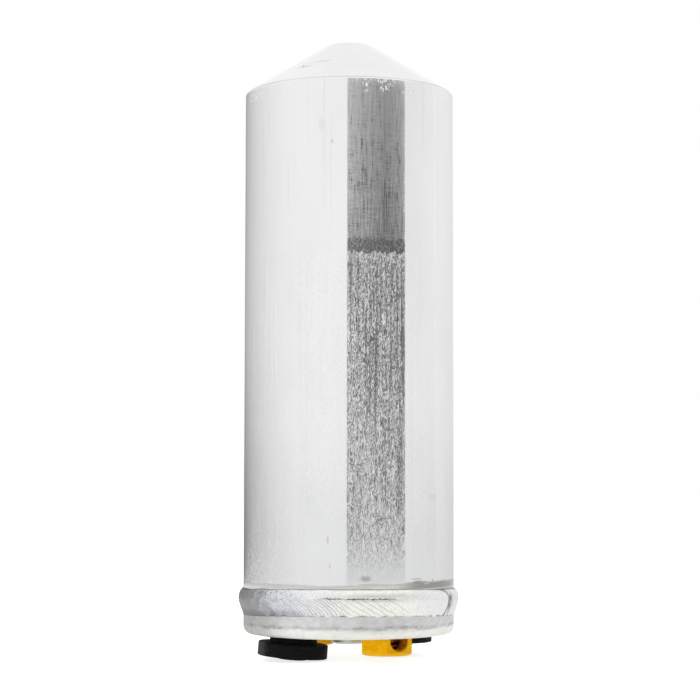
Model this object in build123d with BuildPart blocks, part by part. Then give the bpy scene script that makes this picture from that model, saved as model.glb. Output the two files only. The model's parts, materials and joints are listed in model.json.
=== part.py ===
from build123d import *
import os
from math import cos, hypot, radians, sin, sqrt, tan

# Receiver drier for a vehicle air conditioner.
# The vertical axis is Z.  The cone points up and the ports point down.
# The origin is the centre of the manifold boss's bottom face.
# All lengths are in millimetres and all angles in degrees.

# ---------------------------------------------------------------- driving dimensions

# Canister
can_diameter = 60.0
can_wall = 2.5
shoulder_height = 154.4          # cone shoulder above the port face
cone_rise = 14.7
cone_tip_diameter = 12.7
cone_wall = 3.0
cone_cavity_tip_diameter = 8.0
shoulder_edge_radius = 0.4
cone_tip_edge_radius = 0.6

# Port head
boss_height = 3.0
boss_diameter = 10.0
boss_edge_chamfer = 0.5
head_ring_height = 9.8           # port face to weld seam
head_edge_radius = 2.0
spigot_height = 10.2             # weld seam to the top of the spigot
spigot_clearance = 0.05
spigot_lead_chamfer = 0.8
sump_floor_height = 12.0         # port face to sump floor
weld_groove_depth = 1.7
port_mouth_chamfer = 0.6

# Weld bead
bead_proud = 1.53
bead_upper_reach = 2.8
bead_lower_reach = 3.9
bead_gap = 0.02
weld_land_depth = 0.5            # the can is turned down this much beside the weld
weld_land_margin = 0.2           # land above the bead's upper edge

# Where the four fittings stand round the boss
fitting_circle_radius = 17.2
inlet_angle = 207.8
outlet_angle = 34.0
relief_angle = -52.0
switch_angle = 130.6

# Manifold bolt hole, M6
bolt_hole_diameter = 5.0
bolt_hole_depth = 11.0
bolt_hole_chamfer = 0.6

# Inlet port and riser tube
inlet_bore_diameter = 14.0
inlet_bore_depth = 7.0
riser_outer_diameter = 8.0
riser_wall = 1.0
riser_socket_depth = 4.0
riser_socket_clearance = 0.02
riser_rise_above_plate = 12.0
riser_hole_clearance = 0.25

# Outlet port and its screen
outlet_bore_diameter = 12.5
outlet_bore_depth = 8.0
outlet_passage_diameter = 7.0
screen_sump_gap = 0.2            # screen flange to the sump's wall
screen_flange_width = 1.0
screen_flange_thickness = 0.6
screen_wall = 0.5
screen_passage_step = 0.6        # screen's inner wall to the outlet passage
screen_height = 6.5
screen_slot_width = 0.9
screen_slot_height = 4.0
screen_slot_count = 12

# Desiccant bed
plate_thickness = 1.2
plate_wall_clearance = 0.2
plate_hole_diameter = 3.0
plate_hole_pitch = 6.0
plate_rim_width = 4.5
lower_pad_thickness = 6.0
upper_pad_thickness = 6.0
pad_wall_clearance = 0.1
desiccant_height = 88.0
desiccant_wall_clearance = 0.15

# Bed spring
bed_spring_wire = 2.0
bed_spring_riser_gap = 1.0       # coil to the riser tube, which stands outside it
bed_spring_turns = 5.0
bed_spring_seat_gap = 0.05

# Relief valve
relief_hex_flats = 13.8
relief_hex_height = 7.8
relief_pocket_depth = 3.0
relief_pocket_diameter = 20.0
relief_vent_diameter = 5.8
relief_vent_direction = -60.0
relief_vent_chamfer = 0.25
relief_chamber_diameter = 7.2
relief_floor_thickness = 0.9
relief_sump_reach = 1.0          # shank end above the sump floor
relief_seat_height = 3.0
relief_seat_lip_height = 0.4
relief_seat_lip_width = 0.5
relief_orifice_diameter = 3.4
relief_seat_clearance = 0.02
relief_seat_slot_width = 1.2
relief_seat_slot_depth = 1.0

# Poppet of the relief valve
poppet_guide_clearance = 0.08
poppet_height = 3.0
poppet_seal_diameter = 5.4
poppet_seal_thickness = 1.2
poppet_seal_proud = 0.2
poppet_seal_clearance = 0.02
poppet_flute_radius = 1.1
poppet_flute_count = 4
poppet_stem_diameter = 3.4
poppet_stem_length = 2.5

# Relief spring
relief_spring_wire = 0.9
relief_spring_wall_gap = 0.2
relief_spring_turns = 7.0

# Switch port plug
switch_hex_flats = 14.0
switch_hex_height = 4.3
switch_shank_length = 9.0

# Fitting threads, hexagons and O-rings
fitting_thread_diameter = 10.0
fitting_thread_clearance = 0.05
fitting_thread_chamfer = 0.8
hex_chamfer_circle_share = 0.94  # chamfer circle over the width across flats
hex_chamfer_angle = 30.0
ring_section = 1.5
ring_squeeze = 0.1
ring_clearance = 0.05

# Inlet dust plug
inlet_plug_tilt = 4.3            # the plug sits askew in its port
inlet_plug_flange_diameter = 19.8
inlet_plug_flange_thickness = 4.1
inlet_plug_neck_gap = 1.7
inlet_plug_spigot_clearance = 0.35
inlet_plug_engagement = 4.0
inlet_plug_pivot_depth = 2.0     # depth in the bore where the tilted axis crosses the port's

# Outlet dust plug
outlet_plug_flange_diameter = 19.6
outlet_plug_flange_thickness = 3.0
outlet_plug_neck_gap = 0.3
outlet_plug_spigot_clearance = 0.2
outlet_plug_engagement = 4.0

# Features that both dust plugs share
plug_lead_length = 2.0
plug_lead_inset = 0.9
plug_wall = 2.0
plug_core_depth = 1.6            # hollow core's floor below the flange's head side
plug_flange_edge_radius = 0.9
plug_pip_diameter = 8.4
plug_pip_height = 1.2
plug_pip_edge_radius = 0.5

# ---------------------------------------------------------------- derived levels and radii

can_radius = can_diameter / 2
can_inner_radius = can_radius - can_wall
port_face_z = boss_height
seam_z = port_face_z + head_ring_height
spigot_top_z = seam_z + spigot_height
sump_floor_z = port_face_z + sump_floor_height
shoulder_z = port_face_z + shoulder_height
weld_land_radius = can_radius - weld_land_depth
weld_land_top_z = seam_z + bead_upper_reach + weld_land_margin
cone_tip_radius = cone_tip_diameter / 2
cone_tip_z = shoulder_z + cone_rise
cone_run = can_radius - cone_tip_radius
cone_slope = cone_rise / cone_run
cone_wall_drop = cone_wall * hypot(cone_run, cone_rise) / cone_run
spigot_radius = can_inner_radius - spigot_clearance
riser_radius = riser_outer_diameter / 2
outlet_passage_radius = outlet_passage_diameter / 2
screen_radius = outlet_passage_radius + screen_passage_step + screen_wall
screen_flange_radius = screen_radius + screen_flange_width
sump_radius = fitting_circle_radius + screen_flange_radius + screen_sump_gap
fitting_thread_radius = fitting_thread_diameter / 2
fitting_hole_radius = fitting_thread_radius + fitting_thread_clearance
ring_gland_depth = ring_section - ring_squeeze
ring_radius = fitting_thread_radius + ring_clearance + ring_section / 2
ring_gland_radius = ring_radius + ring_section / 2 + ring_clearance


def cone_cavity_height(radius: float) -> float:
    """Height of the cone's inner face at a radius."""
    return shoulder_z + (can_radius - radius) * cone_slope - cone_wall_drop


def fitting_centre(angle: float) -> tuple:
    """Place of a fitting on the circle round the boss."""
    x = fitting_circle_radius * cos(radians(angle))
    y = fitting_circle_radius * sin(radians(angle))
    return (x, y)


inlet_centre = fitting_centre(inlet_angle)
outlet_centre = fitting_centre(outlet_angle)
relief_centre = fitting_centre(relief_angle)
switch_centre = fitting_centre(switch_angle)

lower_plate_z = spigot_top_z
lower_pad_z = lower_plate_z + plate_thickness
desiccant_z = lower_pad_z + lower_pad_thickness
upper_pad_z = desiccant_z + desiccant_height
upper_plate_z = upper_pad_z + upper_pad_thickness
upper_plate_top_z = upper_plate_z + plate_thickness

relief_hex_top_z = port_face_z + relief_pocket_depth
relief_hex_bottom_z = relief_hex_top_z - relief_hex_height
relief_vent_z = (relief_hex_top_z + relief_hex_bottom_z) / 2
relief_floor_z = relief_hex_bottom_z + relief_floor_thickness
relief_shank_top_z = sump_floor_z + relief_sump_reach
relief_chamber_radius = relief_chamber_diameter / 2
relief_seat_z = relief_shank_top_z - relief_seat_height
relief_lip_z = relief_seat_z - relief_seat_lip_height
poppet_rim_z = relief_lip_z - poppet_seal_proud
poppet_shoulder_z = poppet_rim_z - poppet_height


def axial_plane(centre: tuple) -> Plane:
    """Upright plane through a fitting's axis; local x is the radius, local y is the height."""
    return Plane(origin=(centre[0], centre[1], 0), x_dir=(1, 0, 0), z_dir=(0, -1, 0))


def upright_axis(centre: tuple) -> Axis:
    """Upright axis of a fitting."""
    return Axis((centre[0], centre[1], 0), (0, 0, 1))


def circles_at(part: BuildPart, height: float, radius: float) -> ShapeList:
    """Circular edges of a part at one height and radius."""
    tolerance = 0.001
    level = part.edges().filter_by(GeomType.CIRCLE).filter_by_position(
        Axis.Z, height - tolerance, height + tolerance
    )
    return level.filter_by(lambda edge: abs(edge.radius - radius) < tolerance)


# ---------------------------------------------------------------- canister

with BuildPart() as canister_shell:
    with BuildSketch(Plane.XZ):
        with BuildLine():
            Polyline(
                (can_inner_radius, seam_z),
                (can_radius - weld_groove_depth, seam_z),
                (weld_land_radius, seam_z + weld_groove_depth - weld_land_depth),
                (weld_land_radius, weld_land_top_z),
                (can_radius, weld_land_top_z),
                (can_radius, shoulder_z),
                (cone_tip_radius, cone_tip_z),
                (0, cone_tip_z),
                (0, cone_cavity_height(cone_cavity_tip_diameter / 2)),
                (cone_cavity_tip_diameter / 2, cone_cavity_height(cone_cavity_tip_diameter / 2)),
                (can_inner_radius, cone_cavity_height(can_inner_radius)),
                close=True,
            )
        make_face()
    revolve(axis=Axis.Z)
    fillet(circles_at(canister_shell, shoulder_z, can_radius), shoulder_edge_radius)
    fillet(circles_at(canister_shell, cone_tip_z, cone_tip_radius), cone_tip_edge_radius)
canister_shell.part.label = "canister_shell"

# Weld bead: a crown outside the can and a root that fills the V groove.
bead_inner_radius = can_radius + bead_gap
bead_land_radius = weld_land_radius + bead_gap
with BuildPart() as weld_bead:
    with BuildSketch(Plane.XZ):
        with BuildLine():
            EllipticalCenterArc(
                (bead_inner_radius, seam_z), bead_proud, bead_upper_reach, start_angle=0, arc_size=90
            )
            EllipticalCenterArc(
                (bead_inner_radius, seam_z), bead_proud, bead_lower_reach, start_angle=270, arc_size=90
            )
            Polyline(
                (bead_inner_radius, seam_z + bead_upper_reach),
                (bead_land_radius, seam_z + bead_upper_reach),
                (bead_land_radius, seam_z + weld_groove_depth - weld_land_depth),
                (bead_inner_radius - weld_groove_depth, seam_z),
                (bead_inner_radius, seam_z - weld_groove_depth),
                (bead_inner_radius, seam_z - bead_lower_reach),
            )
        make_face()
    revolve(axis=Axis.Z)
weld_bead.part.label = "weld_bead"

# ---------------------------------------------------------------- port head

boss_radius = boss_diameter / 2
with BuildPart() as port_head:
    with BuildSketch(Plane.XZ):
        with BuildLine():
            Polyline(
                (0, 0),
                (boss_radius, 0),
                (boss_radius, port_face_z),
                (can_radius, port_face_z),
                (can_radius, seam_z - weld_groove_depth),
                (can_radius - weld_groove_depth, seam_z),
                (spigot_radius, seam_z),
                (spigot_radius, spigot_top_z),
                (sump_radius, spigot_top_z),
                (sump_radius, sump_floor_z),
                (0, sump_floor_z),
                close=True,
            )
        make_face()
    revolve(axis=Axis.Z)
    fillet(circles_at(port_head, port_face_z, can_radius), head_edge_radius)
    chamfer(circles_at(port_head, 0, boss_radius), boss_edge_chamfer)
    chamfer(circles_at(port_head, spigot_top_z, spigot_radius), spigot_lead_chamfer)
    # Manifold bolt hole
    with BuildSketch(Plane.XY):
        Circle(bolt_hole_diameter / 2)
    extrude(amount=bolt_hole_depth, mode=Mode.SUBTRACT)
    chamfer(circles_at(port_head, 0, bolt_hole_diameter / 2), bolt_hole_chamfer)
    # Inlet port, its passage and the riser tube's socket
    with BuildSketch(Plane.XY.offset(port_face_z)):
        with Locations(inlet_centre):
            Circle(inlet_bore_diameter / 2)
    extrude(amount=inlet_bore_depth, mode=Mode.SUBTRACT)
    with BuildSketch(Plane.XY.offset(port_face_z)):
        with Locations(inlet_centre):
            Circle(riser_radius - riser_wall)
    extrude(amount=sump_floor_height, mode=Mode.SUBTRACT)
    with BuildSketch(Plane.XY.offset(sump_floor_z - riser_socket_depth)):
        with Locations(inlet_centre):
            Circle(riser_radius + riser_socket_clearance)
    extrude(amount=spigot_top_z - sump_floor_z + riser_socket_depth, mode=Mode.SUBTRACT)
    # Outlet port and its passage
    with BuildSketch(Plane.XY.offset(port_face_z)):
        with Locations(outlet_centre):
            Circle(outlet_bore_diameter / 2)
    extrude(amount=outlet_bore_depth, mode=Mode.SUBTRACT)
    with BuildSketch(Plane.XY.offset(port_face_z)):
        with Locations(outlet_centre):
            Circle(outlet_passage_radius)
    extrude(amount=sump_floor_height, mode=Mode.SUBTRACT)
    for bore_diameter in (inlet_bore_diameter, outlet_bore_diameter):
        chamfer(circles_at(port_head, port_face_z, bore_diameter / 2), port_mouth_chamfer)
    # Pocket for the relief valve's hexagon
    with BuildSketch(Plane.XY.offset(port_face_z)):
        with Locations(relief_centre):
            Circle(relief_pocket_diameter / 2)
    extrude(amount=relief_pocket_depth, mode=Mode.SUBTRACT)
    # Threaded holes and O-ring glands of the two fittings
    for centre, seat_z in ((relief_centre, relief_hex_top_z), (switch_centre, port_face_z)):
        with BuildSketch(Plane.XY.offset(seat_z)):
            with Locations(centre):
                Circle(ring_gland_radius)
        extrude(amount=ring_gland_depth, mode=Mode.SUBTRACT)
        with BuildSketch(Plane.XY.offset(seat_z)):
            with Locations(centre):
                Circle(fitting_hole_radius)
        extrude(amount=spigot_top_z - seat_z, mode=Mode.SUBTRACT)
port_head.part.label = "port_head"

# ---------------------------------------------------------------- pieces inside the can

riser_base_z = sump_floor_z - riser_socket_depth
riser_top_z = upper_plate_top_z + riser_rise_above_plate
with BuildPart() as riser_tube:
    with BuildSketch(Plane.XY.offset(riser_base_z)):
        with Locations(inlet_centre):
            Circle(riser_radius)
            Circle(riser_radius - riser_wall, mode=Mode.SUBTRACT)
    extrude(amount=riser_top_z - riser_base_z)
    chamfer(circles_at(riser_tube, riser_top_z, riser_radius), riser_wall / 4)
riser_tube.part.label = "riser_tube"

screen_top_z = sump_floor_z + screen_height
with BuildPart() as outlet_screen:
    with BuildSketch(axial_plane(outlet_centre)):
        with BuildLine():
            Polyline(
                (screen_radius - screen_wall, sump_floor_z),
                (screen_flange_radius, sump_floor_z),
                (screen_flange_radius, sump_floor_z + screen_flange_thickness),
                (screen_radius, sump_floor_z + screen_flange_thickness),
                (screen_radius, screen_top_z),
                (0, screen_top_z),
                (0, screen_top_z - screen_wall),
                (screen_radius - screen_wall, screen_top_z - screen_wall),
                close=True,
            )
        make_face()
    revolve(axis=upright_axis(outlet_centre))
    screen_middle_z = (sump_floor_z + screen_flange_thickness + screen_top_z - screen_wall) / 2
    for slot in range(screen_slot_count):
        slot_direction = radians(slot * 360 / screen_slot_count)
        outward = (cos(slot_direction), sin(slot_direction), 0)
        slot_plane = Plane(
            origin=(outlet_centre[0], outlet_centre[1], screen_middle_z),
            x_dir=(-outward[1], outward[0], 0),
            z_dir=outward,
        )
        with BuildSketch(slot_plane):
            SlotOverall(screen_slot_height, screen_slot_width, rotation=90)
        extrude(amount=screen_flange_radius, mode=Mode.SUBTRACT)
outlet_screen.part.label = "outlet_screen"


def perforated_plate(name: str, base_z: float) -> Part:
    """Plate with a grid of holes and a clearance hole for the riser tube."""
    plate_radius = can_inner_radius - plate_wall_clearance
    riser_hole_radius = riser_radius + riser_hole_clearance
    steps = int(plate_radius / plate_hole_pitch) + 1
    holes = []
    for column in range(-steps, steps + 1):
        for row in range(-steps, steps + 1):
            x = column * plate_hole_pitch
            y = row * plate_hole_pitch
            inside_rim = hypot(x, y) < plate_radius - plate_rim_width
            from_riser = hypot(x - inlet_centre[0], y - inlet_centre[1])
            if inside_rim and from_riser > riser_hole_radius + plate_hole_diameter:
                holes.append((x, y))
    with BuildPart() as plate:
        with BuildSketch(Plane.XY.offset(base_z)):
            Circle(plate_radius)
            with Locations(inlet_centre):
                Circle(riser_hole_radius, mode=Mode.SUBTRACT)
            with Locations(*holes):
                Circle(plate_hole_diameter / 2, mode=Mode.SUBTRACT)
        extrude(amount=plate_thickness)
    plate.part.label = name
    return plate.part


def bed_layer(name: str, base_z: float, thickness: float, wall_clearance: float) -> Part:
    """Round layer of the bed with a clearance hole for the riser tube."""
    with BuildPart() as layer:
        with BuildSketch(Plane.XY.offset(base_z)):
            Circle(can_inner_radius - wall_clearance)
            with Locations(inlet_centre):
                Circle(riser_radius + riser_hole_clearance, mode=Mode.SUBTRACT)
        extrude(amount=thickness)
    layer.part.label = name
    return layer.part


def round_wire_spring(name: str, centre: tuple, base_z: float, top_z: float,
                      mean_radius: float, wire: float, turns: float) -> Part:
    """Helical spring whose two ends are ground flat at base_z and top_z."""
    pitch = (top_z - base_z) / turns
    with BuildPart() as spring:
        with BuildLine():
            coil = Helix(
                pitch=pitch,
                height=top_z - base_z,
                radius=mean_radius,
                center=(centre[0], centre[1], base_z),
            )
        with BuildSketch(Plane(origin=coil @ 0, z_dir=coil % 0)):
            Circle(wire / 2)
        sweep(is_frenet=True)
        split(bisect_by=Plane.XY.offset(base_z), keep=Keep.TOP)
        split(bisect_by=Plane.XY.offset(top_z), keep=Keep.BOTTOM)
    spring.part.label = name
    return spring.part


lower_perforated_plate = perforated_plate("lower_perforated_plate", lower_plate_z)
upper_perforated_plate = perforated_plate("upper_perforated_plate", upper_plate_z)
lower_filter_pad = bed_layer("lower_filter_pad", lower_pad_z, lower_pad_thickness, pad_wall_clearance)
upper_filter_pad = bed_layer("upper_filter_pad", upper_pad_z, upper_pad_thickness, pad_wall_clearance)
desiccant_charge = bed_layer(
    "desiccant_charge", desiccant_z, desiccant_height, desiccant_wall_clearance
)

bed_spring_outer_radius = fitting_circle_radius - riser_radius - bed_spring_riser_gap
bed_spring_mean_radius = bed_spring_outer_radius - bed_spring_wire / 2
bed_spring_top_z = cone_cavity_height(bed_spring_outer_radius) - bed_spring_seat_gap
bed_spring = round_wire_spring(
    "bed_spring", (0, 0), upper_plate_top_z, bed_spring_top_z,
    bed_spring_mean_radius, bed_spring_wire, bed_spring_turns,
)

# ---------------------------------------------------------------- relief valve


def hex_fitting(name: str, centre: tuple, flats: float, bottom_z: float, top_z: float,
                shank_top_z: float) -> BuildPart:
    """Solid hexagon fitting with a chamfered outer end and a plain shank upwards."""
    corner_radius = flats / sqrt(3)
    chamfer_radius = flats / 2 * hex_chamfer_circle_share
    chamfer_height = (corner_radius - chamfer_radius) * tan(radians(hex_chamfer_angle))
    with BuildPart() as fitting:
        with BuildSketch(Plane.XY.offset(bottom_z)):
            with Locations(centre):
                RegularPolygon(radius=corner_radius, side_count=6, rotation=90)
        extrude(amount=top_z - bottom_z)
        with BuildSketch(axial_plane(centre)):
            with BuildLine():
                Polyline(
                    (0, bottom_z),
                    (chamfer_radius, bottom_z),
                    (corner_radius, bottom_z + chamfer_height),
                    (corner_radius, top_z),
                    (0, top_z),
                    close=True,
                )
            make_face()
        revolve(axis=upright_axis(centre), mode=Mode.INTERSECT)
        with BuildSketch(Plane.XY.offset(top_z)):
            with Locations(centre):
                Circle(fitting_thread_radius)
        extrude(amount=shank_top_z - top_z)
        chamfer(circles_at(fitting, shank_top_z, fitting_thread_radius), fitting_thread_chamfer)
    fitting.part.label = name
    return fitting


relief_blank = hex_fitting(
    "relief_blank", relief_centre, relief_hex_flats,
    relief_hex_bottom_z, relief_hex_top_z, relief_shank_top_z,
)
vent_direction = radians(relief_vent_direction)
vent_outward = (cos(vent_direction), sin(vent_direction), 0)
vent_plane = Plane(
    origin=(relief_centre[0], relief_centre[1], relief_vent_z),
    x_dir=(-vent_outward[1], vent_outward[0], 0),
    z_dir=vent_outward,
)
with BuildPart() as relief_valve_body:
    add(relief_blank.part)
    # Chamber, bored from the shank's end
    with BuildSketch(Plane.XY.offset(relief_floor_z)):
        with Locations(relief_centre):
            Circle(relief_chamber_radius)
    extrude(amount=relief_shank_top_z - relief_floor_z, mode=Mode.SUBTRACT)
    # Vent through one flat
    with BuildSketch(vent_plane):
        Circle(relief_vent_diameter / 2)
    extrude(amount=relief_hex_flats, mode=Mode.SUBTRACT)
    with BuildSketch(Plane(
        origin=vent_plane.origin + Vector(*vent_outward) * (relief_hex_flats / 2),
        x_dir=vent_plane.x_dir,
        z_dir=-vent_plane.z_dir,
    )):
        Circle(relief_vent_diameter / 2 + relief_vent_chamfer)
    extrude(amount=relief_vent_chamfer, taper=45, mode=Mode.SUBTRACT)
relief_valve_body.part.label = "relief_valve_body"

relief_seat_radius = relief_chamber_radius - relief_seat_clearance
relief_orifice_radius = relief_orifice_diameter / 2
with BuildPart() as relief_valve_seat:
    with BuildSketch(axial_plane(relief_centre)):
        with BuildLine():
            Polyline(
                (relief_orifice_radius, relief_lip_z),
                (relief_orifice_radius + relief_seat_lip_width, relief_lip_z),
                (relief_orifice_radius + relief_seat_lip_width, relief_seat_z),
                (relief_seat_radius, relief_seat_z),
                (relief_seat_radius, relief_shank_top_z),
                (relief_orifice_radius, relief_shank_top_z),
                close=True,
            )
        make_face()
    revolve(axis=upright_axis(relief_centre))
    with BuildSketch(Plane.XY.offset(relief_shank_top_z - relief_seat_slot_depth)):
        with Locations(relief_centre):
            Rectangle(relief_chamber_diameter, relief_seat_slot_width)
    extrude(amount=relief_seat_slot_depth, mode=Mode.SUBTRACT)
relief_valve_seat.part.label = "relief_valve_seat"

poppet_radius = relief_chamber_radius - poppet_guide_clearance
poppet_seal_radius = poppet_seal_diameter / 2
poppet_seal_z = relief_lip_z - poppet_seal_thickness
with BuildPart() as relief_poppet:
    with BuildSketch(axial_plane(relief_centre)):
        with BuildLine():
            Polyline(
                (0, poppet_shoulder_z - poppet_stem_length),
                (poppet_stem_diameter / 2, poppet_shoulder_z - poppet_stem_length),
                (poppet_stem_diameter / 2, poppet_shoulder_z),
                (poppet_radius, poppet_shoulder_z),
                (poppet_radius, poppet_rim_z),
                (poppet_seal_radius + poppet_seal_clearance, poppet_rim_z),
                (poppet_seal_radius + poppet_seal_clearance, poppet_seal_z),
                (0, poppet_seal_z),
                close=True,
            )
        make_face()
    revolve(axis=upright_axis(relief_centre))
    # Flutes that let the gas pass the guide
    with BuildSketch(Plane.XY.offset(poppet_shoulder_z)):
        with Locations(relief_centre):
            with PolarLocations(poppet_radius + poppet_flute_radius / 2, poppet_flute_count, start_angle=45):
                Circle(poppet_flute_radius)
    extrude(amount=poppet_height, mode=Mode.SUBTRACT)
relief_poppet.part.label = "relief_poppet"

with BuildPart() as relief_poppet_seal:
    with BuildSketch(Plane.XY.offset(poppet_seal_z)):
        with Locations(relief_centre):
            Circle(poppet_seal_radius)
    extrude(amount=poppet_seal_thickness)
relief_poppet_seal.part.label = "relief_poppet_seal"

relief_spring_mean_radius = relief_chamber_radius - relief_spring_wall_gap - relief_spring_wire / 2
relief_spring = round_wire_spring(
    "relief_spring", relief_centre, relief_floor_z, poppet_shoulder_z,
    relief_spring_mean_radius, relief_spring_wire, relief_spring_turns,
)

# ---------------------------------------------------------------- switch port plug and O-rings

switch_port_plug = hex_fitting(
    "switch_port_plug", switch_centre, switch_hex_flats,
    port_face_z - switch_hex_height, port_face_z, port_face_z + switch_shank_length,
)


def o_ring(name: str, centre: tuple, seat_z: float) -> Part:
    """O-ring in the gland above a fitting's hexagon."""
    with BuildPart() as ring:
        with BuildSketch(axial_plane(centre)):
            with Locations((ring_radius, seat_z + ring_gland_depth / 2)):
                Ellipse(ring_section / 2, ring_gland_depth / 2 - ring_clearance / 2)
        revolve(axis=upright_axis(centre))
    ring.part.label = name
    return ring.part


relief_valve_seal = o_ring("relief_valve_seal", relief_centre, relief_hex_top_z)
switch_port_seal = o_ring("switch_port_seal", switch_centre, port_face_z)

# ---------------------------------------------------------------- dust plugs


def dust_plug(name: str, mouth: Plane, spigot_radius: float, engagement: float,
              neck_gap: float, flange_diameter: float, flange_thickness: float) -> Part:
    """Moulded plug with a flange, a hollow spigot and a grip pip.

    The mouth plane lies at the port's mouth, and its normal points into the port.
    """
    profile_plane = Plane(origin=mouth.origin, x_dir=mouth.x_dir, z_dir=-mouth.y_dir)
    flange_radius = flange_diameter / 2
    flange_top = -neck_gap
    flange_bottom = flange_top - flange_thickness
    lead_top = engagement + plug_lead_length
    core_radius = spigot_radius - plug_wall
    edge = plug_flange_edge_radius
    pip_radius = plug_pip_diameter / 2
    pip_bottom = flange_bottom - plug_pip_height
    with BuildPart() as plug:
        with BuildSketch(profile_plane):
            with BuildLine():
                FilletPolyline(
                    (spigot_radius, flange_top),
                    (flange_radius, flange_top),
                    (flange_radius, flange_bottom),
                    (pip_radius, flange_bottom),
                    radius=edge,
                )
                Polyline(
                    (pip_radius, flange_bottom),
                    (pip_radius, pip_bottom),
                    (0, pip_bottom),
                    (0, flange_top - plug_core_depth),
                    (core_radius, flange_top - plug_core_depth),
                    (core_radius, lead_top),
                    (spigot_radius - plug_lead_inset, lead_top),
                    (spigot_radius, engagement),
                    (spigot_radius, flange_top),
                )
            make_face()
        revolve(axis=Axis(mouth.origin, mouth.z_dir))
        pip_rim = plug.edges().filter_by(GeomType.CIRCLE).sort_by(Axis(mouth.origin, mouth.z_dir))[0]
        fillet(pip_rim, plug_pip_edge_radius)
    plug.part.label = name
    return plug.part


tilt = radians(inlet_plug_tilt)
inlet_pivot = Vector(inlet_centre[0], inlet_centre[1], port_face_z + inlet_plug_pivot_depth)
inlet_plug_normal = Vector(sin(tilt), 0, cos(tilt))
inlet_mouth = Plane(
    origin=inlet_pivot - inlet_plug_normal * inlet_plug_pivot_depth,
    x_dir=(cos(tilt), 0, -sin(tilt)),
    z_dir=inlet_plug_normal,
)
inlet_dust_plug = dust_plug(
    "inlet_dust_plug", inlet_mouth,
    inlet_bore_diameter / 2 - inlet_plug_spigot_clearance, inlet_plug_engagement,
    inlet_plug_neck_gap, inlet_plug_flange_diameter, inlet_plug_flange_thickness,
)

outlet_mouth = Plane(
    origin=(outlet_centre[0], outlet_centre[1], port_face_z), x_dir=(1, 0, 0), z_dir=(0, 0, 1)
)
outlet_dust_plug = dust_plug(
    "outlet_dust_plug", outlet_mouth,
    outlet_bore_diameter / 2 - outlet_plug_spigot_clearance, outlet_plug_engagement,
    outlet_plug_neck_gap, outlet_plug_flange_diameter, outlet_plug_flange_thickness,
)

# ---------------------------------------------------------------- export

finished_pieces = [
    canister_shell.part,
    weld_bead.part,
    port_head.part,
    riser_tube.part,
    outlet_screen.part,
    lower_perforated_plate,
    lower_filter_pad,
    desiccant_charge,
    upper_filter_pad,
    upper_perforated_plate,
    bed_spring,
    relief_valve_body.part,
    relief_valve_seat.part,
    relief_valve_seal,
    relief_poppet.part,
    relief_poppet_seal.part,
    relief_spring,
    switch_port_plug.part,
    switch_port_seal,
    inlet_dust_plug,
    outlet_dust_plug,
]

os.makedirs("parts", exist_ok=True)
for piece in finished_pieces:
    export_step(piece, f"parts/{piece.label}.step")
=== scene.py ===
"""Looks of a vehicle receiver drier: can, weld, port head, relief valve, dust plugs and the bed inside."""

import json
import logging
import math
from contextlib import contextmanager
from dataclasses import dataclass, field
from enum import Enum
from typing import Dict, Iterator, List, Optional, Sequence, Tuple, Union

import bmesh
import bpy
import numpy as np
from mathutils import Matrix, Vector

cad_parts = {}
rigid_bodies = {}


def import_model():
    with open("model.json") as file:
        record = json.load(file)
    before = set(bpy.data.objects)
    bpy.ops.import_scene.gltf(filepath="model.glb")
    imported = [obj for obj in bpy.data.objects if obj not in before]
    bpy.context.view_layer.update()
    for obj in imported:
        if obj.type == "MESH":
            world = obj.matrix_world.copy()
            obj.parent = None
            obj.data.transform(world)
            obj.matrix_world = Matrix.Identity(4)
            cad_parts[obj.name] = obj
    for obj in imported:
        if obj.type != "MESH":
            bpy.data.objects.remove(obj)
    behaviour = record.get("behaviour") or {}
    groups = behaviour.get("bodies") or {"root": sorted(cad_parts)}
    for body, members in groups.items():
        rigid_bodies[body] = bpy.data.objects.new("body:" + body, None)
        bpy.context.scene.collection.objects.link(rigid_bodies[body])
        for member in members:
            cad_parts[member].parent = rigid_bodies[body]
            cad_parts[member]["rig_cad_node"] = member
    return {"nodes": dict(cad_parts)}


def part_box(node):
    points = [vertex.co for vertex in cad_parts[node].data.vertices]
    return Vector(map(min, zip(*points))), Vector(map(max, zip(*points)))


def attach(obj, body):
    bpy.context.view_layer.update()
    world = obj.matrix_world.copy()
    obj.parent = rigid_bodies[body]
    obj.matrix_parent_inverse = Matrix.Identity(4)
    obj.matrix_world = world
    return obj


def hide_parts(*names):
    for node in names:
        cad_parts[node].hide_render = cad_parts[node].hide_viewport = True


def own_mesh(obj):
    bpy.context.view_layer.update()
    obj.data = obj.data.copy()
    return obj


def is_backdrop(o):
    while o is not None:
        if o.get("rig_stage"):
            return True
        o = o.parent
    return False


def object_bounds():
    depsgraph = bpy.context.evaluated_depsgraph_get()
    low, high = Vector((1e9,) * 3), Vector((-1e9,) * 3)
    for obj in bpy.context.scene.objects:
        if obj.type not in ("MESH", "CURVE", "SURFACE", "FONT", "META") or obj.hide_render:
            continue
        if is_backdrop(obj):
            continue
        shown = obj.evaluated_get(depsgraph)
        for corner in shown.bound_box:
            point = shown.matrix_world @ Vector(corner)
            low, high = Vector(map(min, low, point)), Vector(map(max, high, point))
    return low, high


log = logging.getLogger("receiver_drier")

MM = 0.001
FULL_TURN = 2 * math.pi
ORIGIN = Vector((0, 0, 0))
Triple = Tuple[float, float, float]
Inputs = Dict[Union[str, int], object]


# ---------------------------------------------------------------- modelling bench


@dataclass(frozen=True)
class Corner:
    """One corner of a turned profile, in millimetres."""

    radius: float
    height: float
    rounding: float = 0.0
    cuts: int = 0


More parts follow.
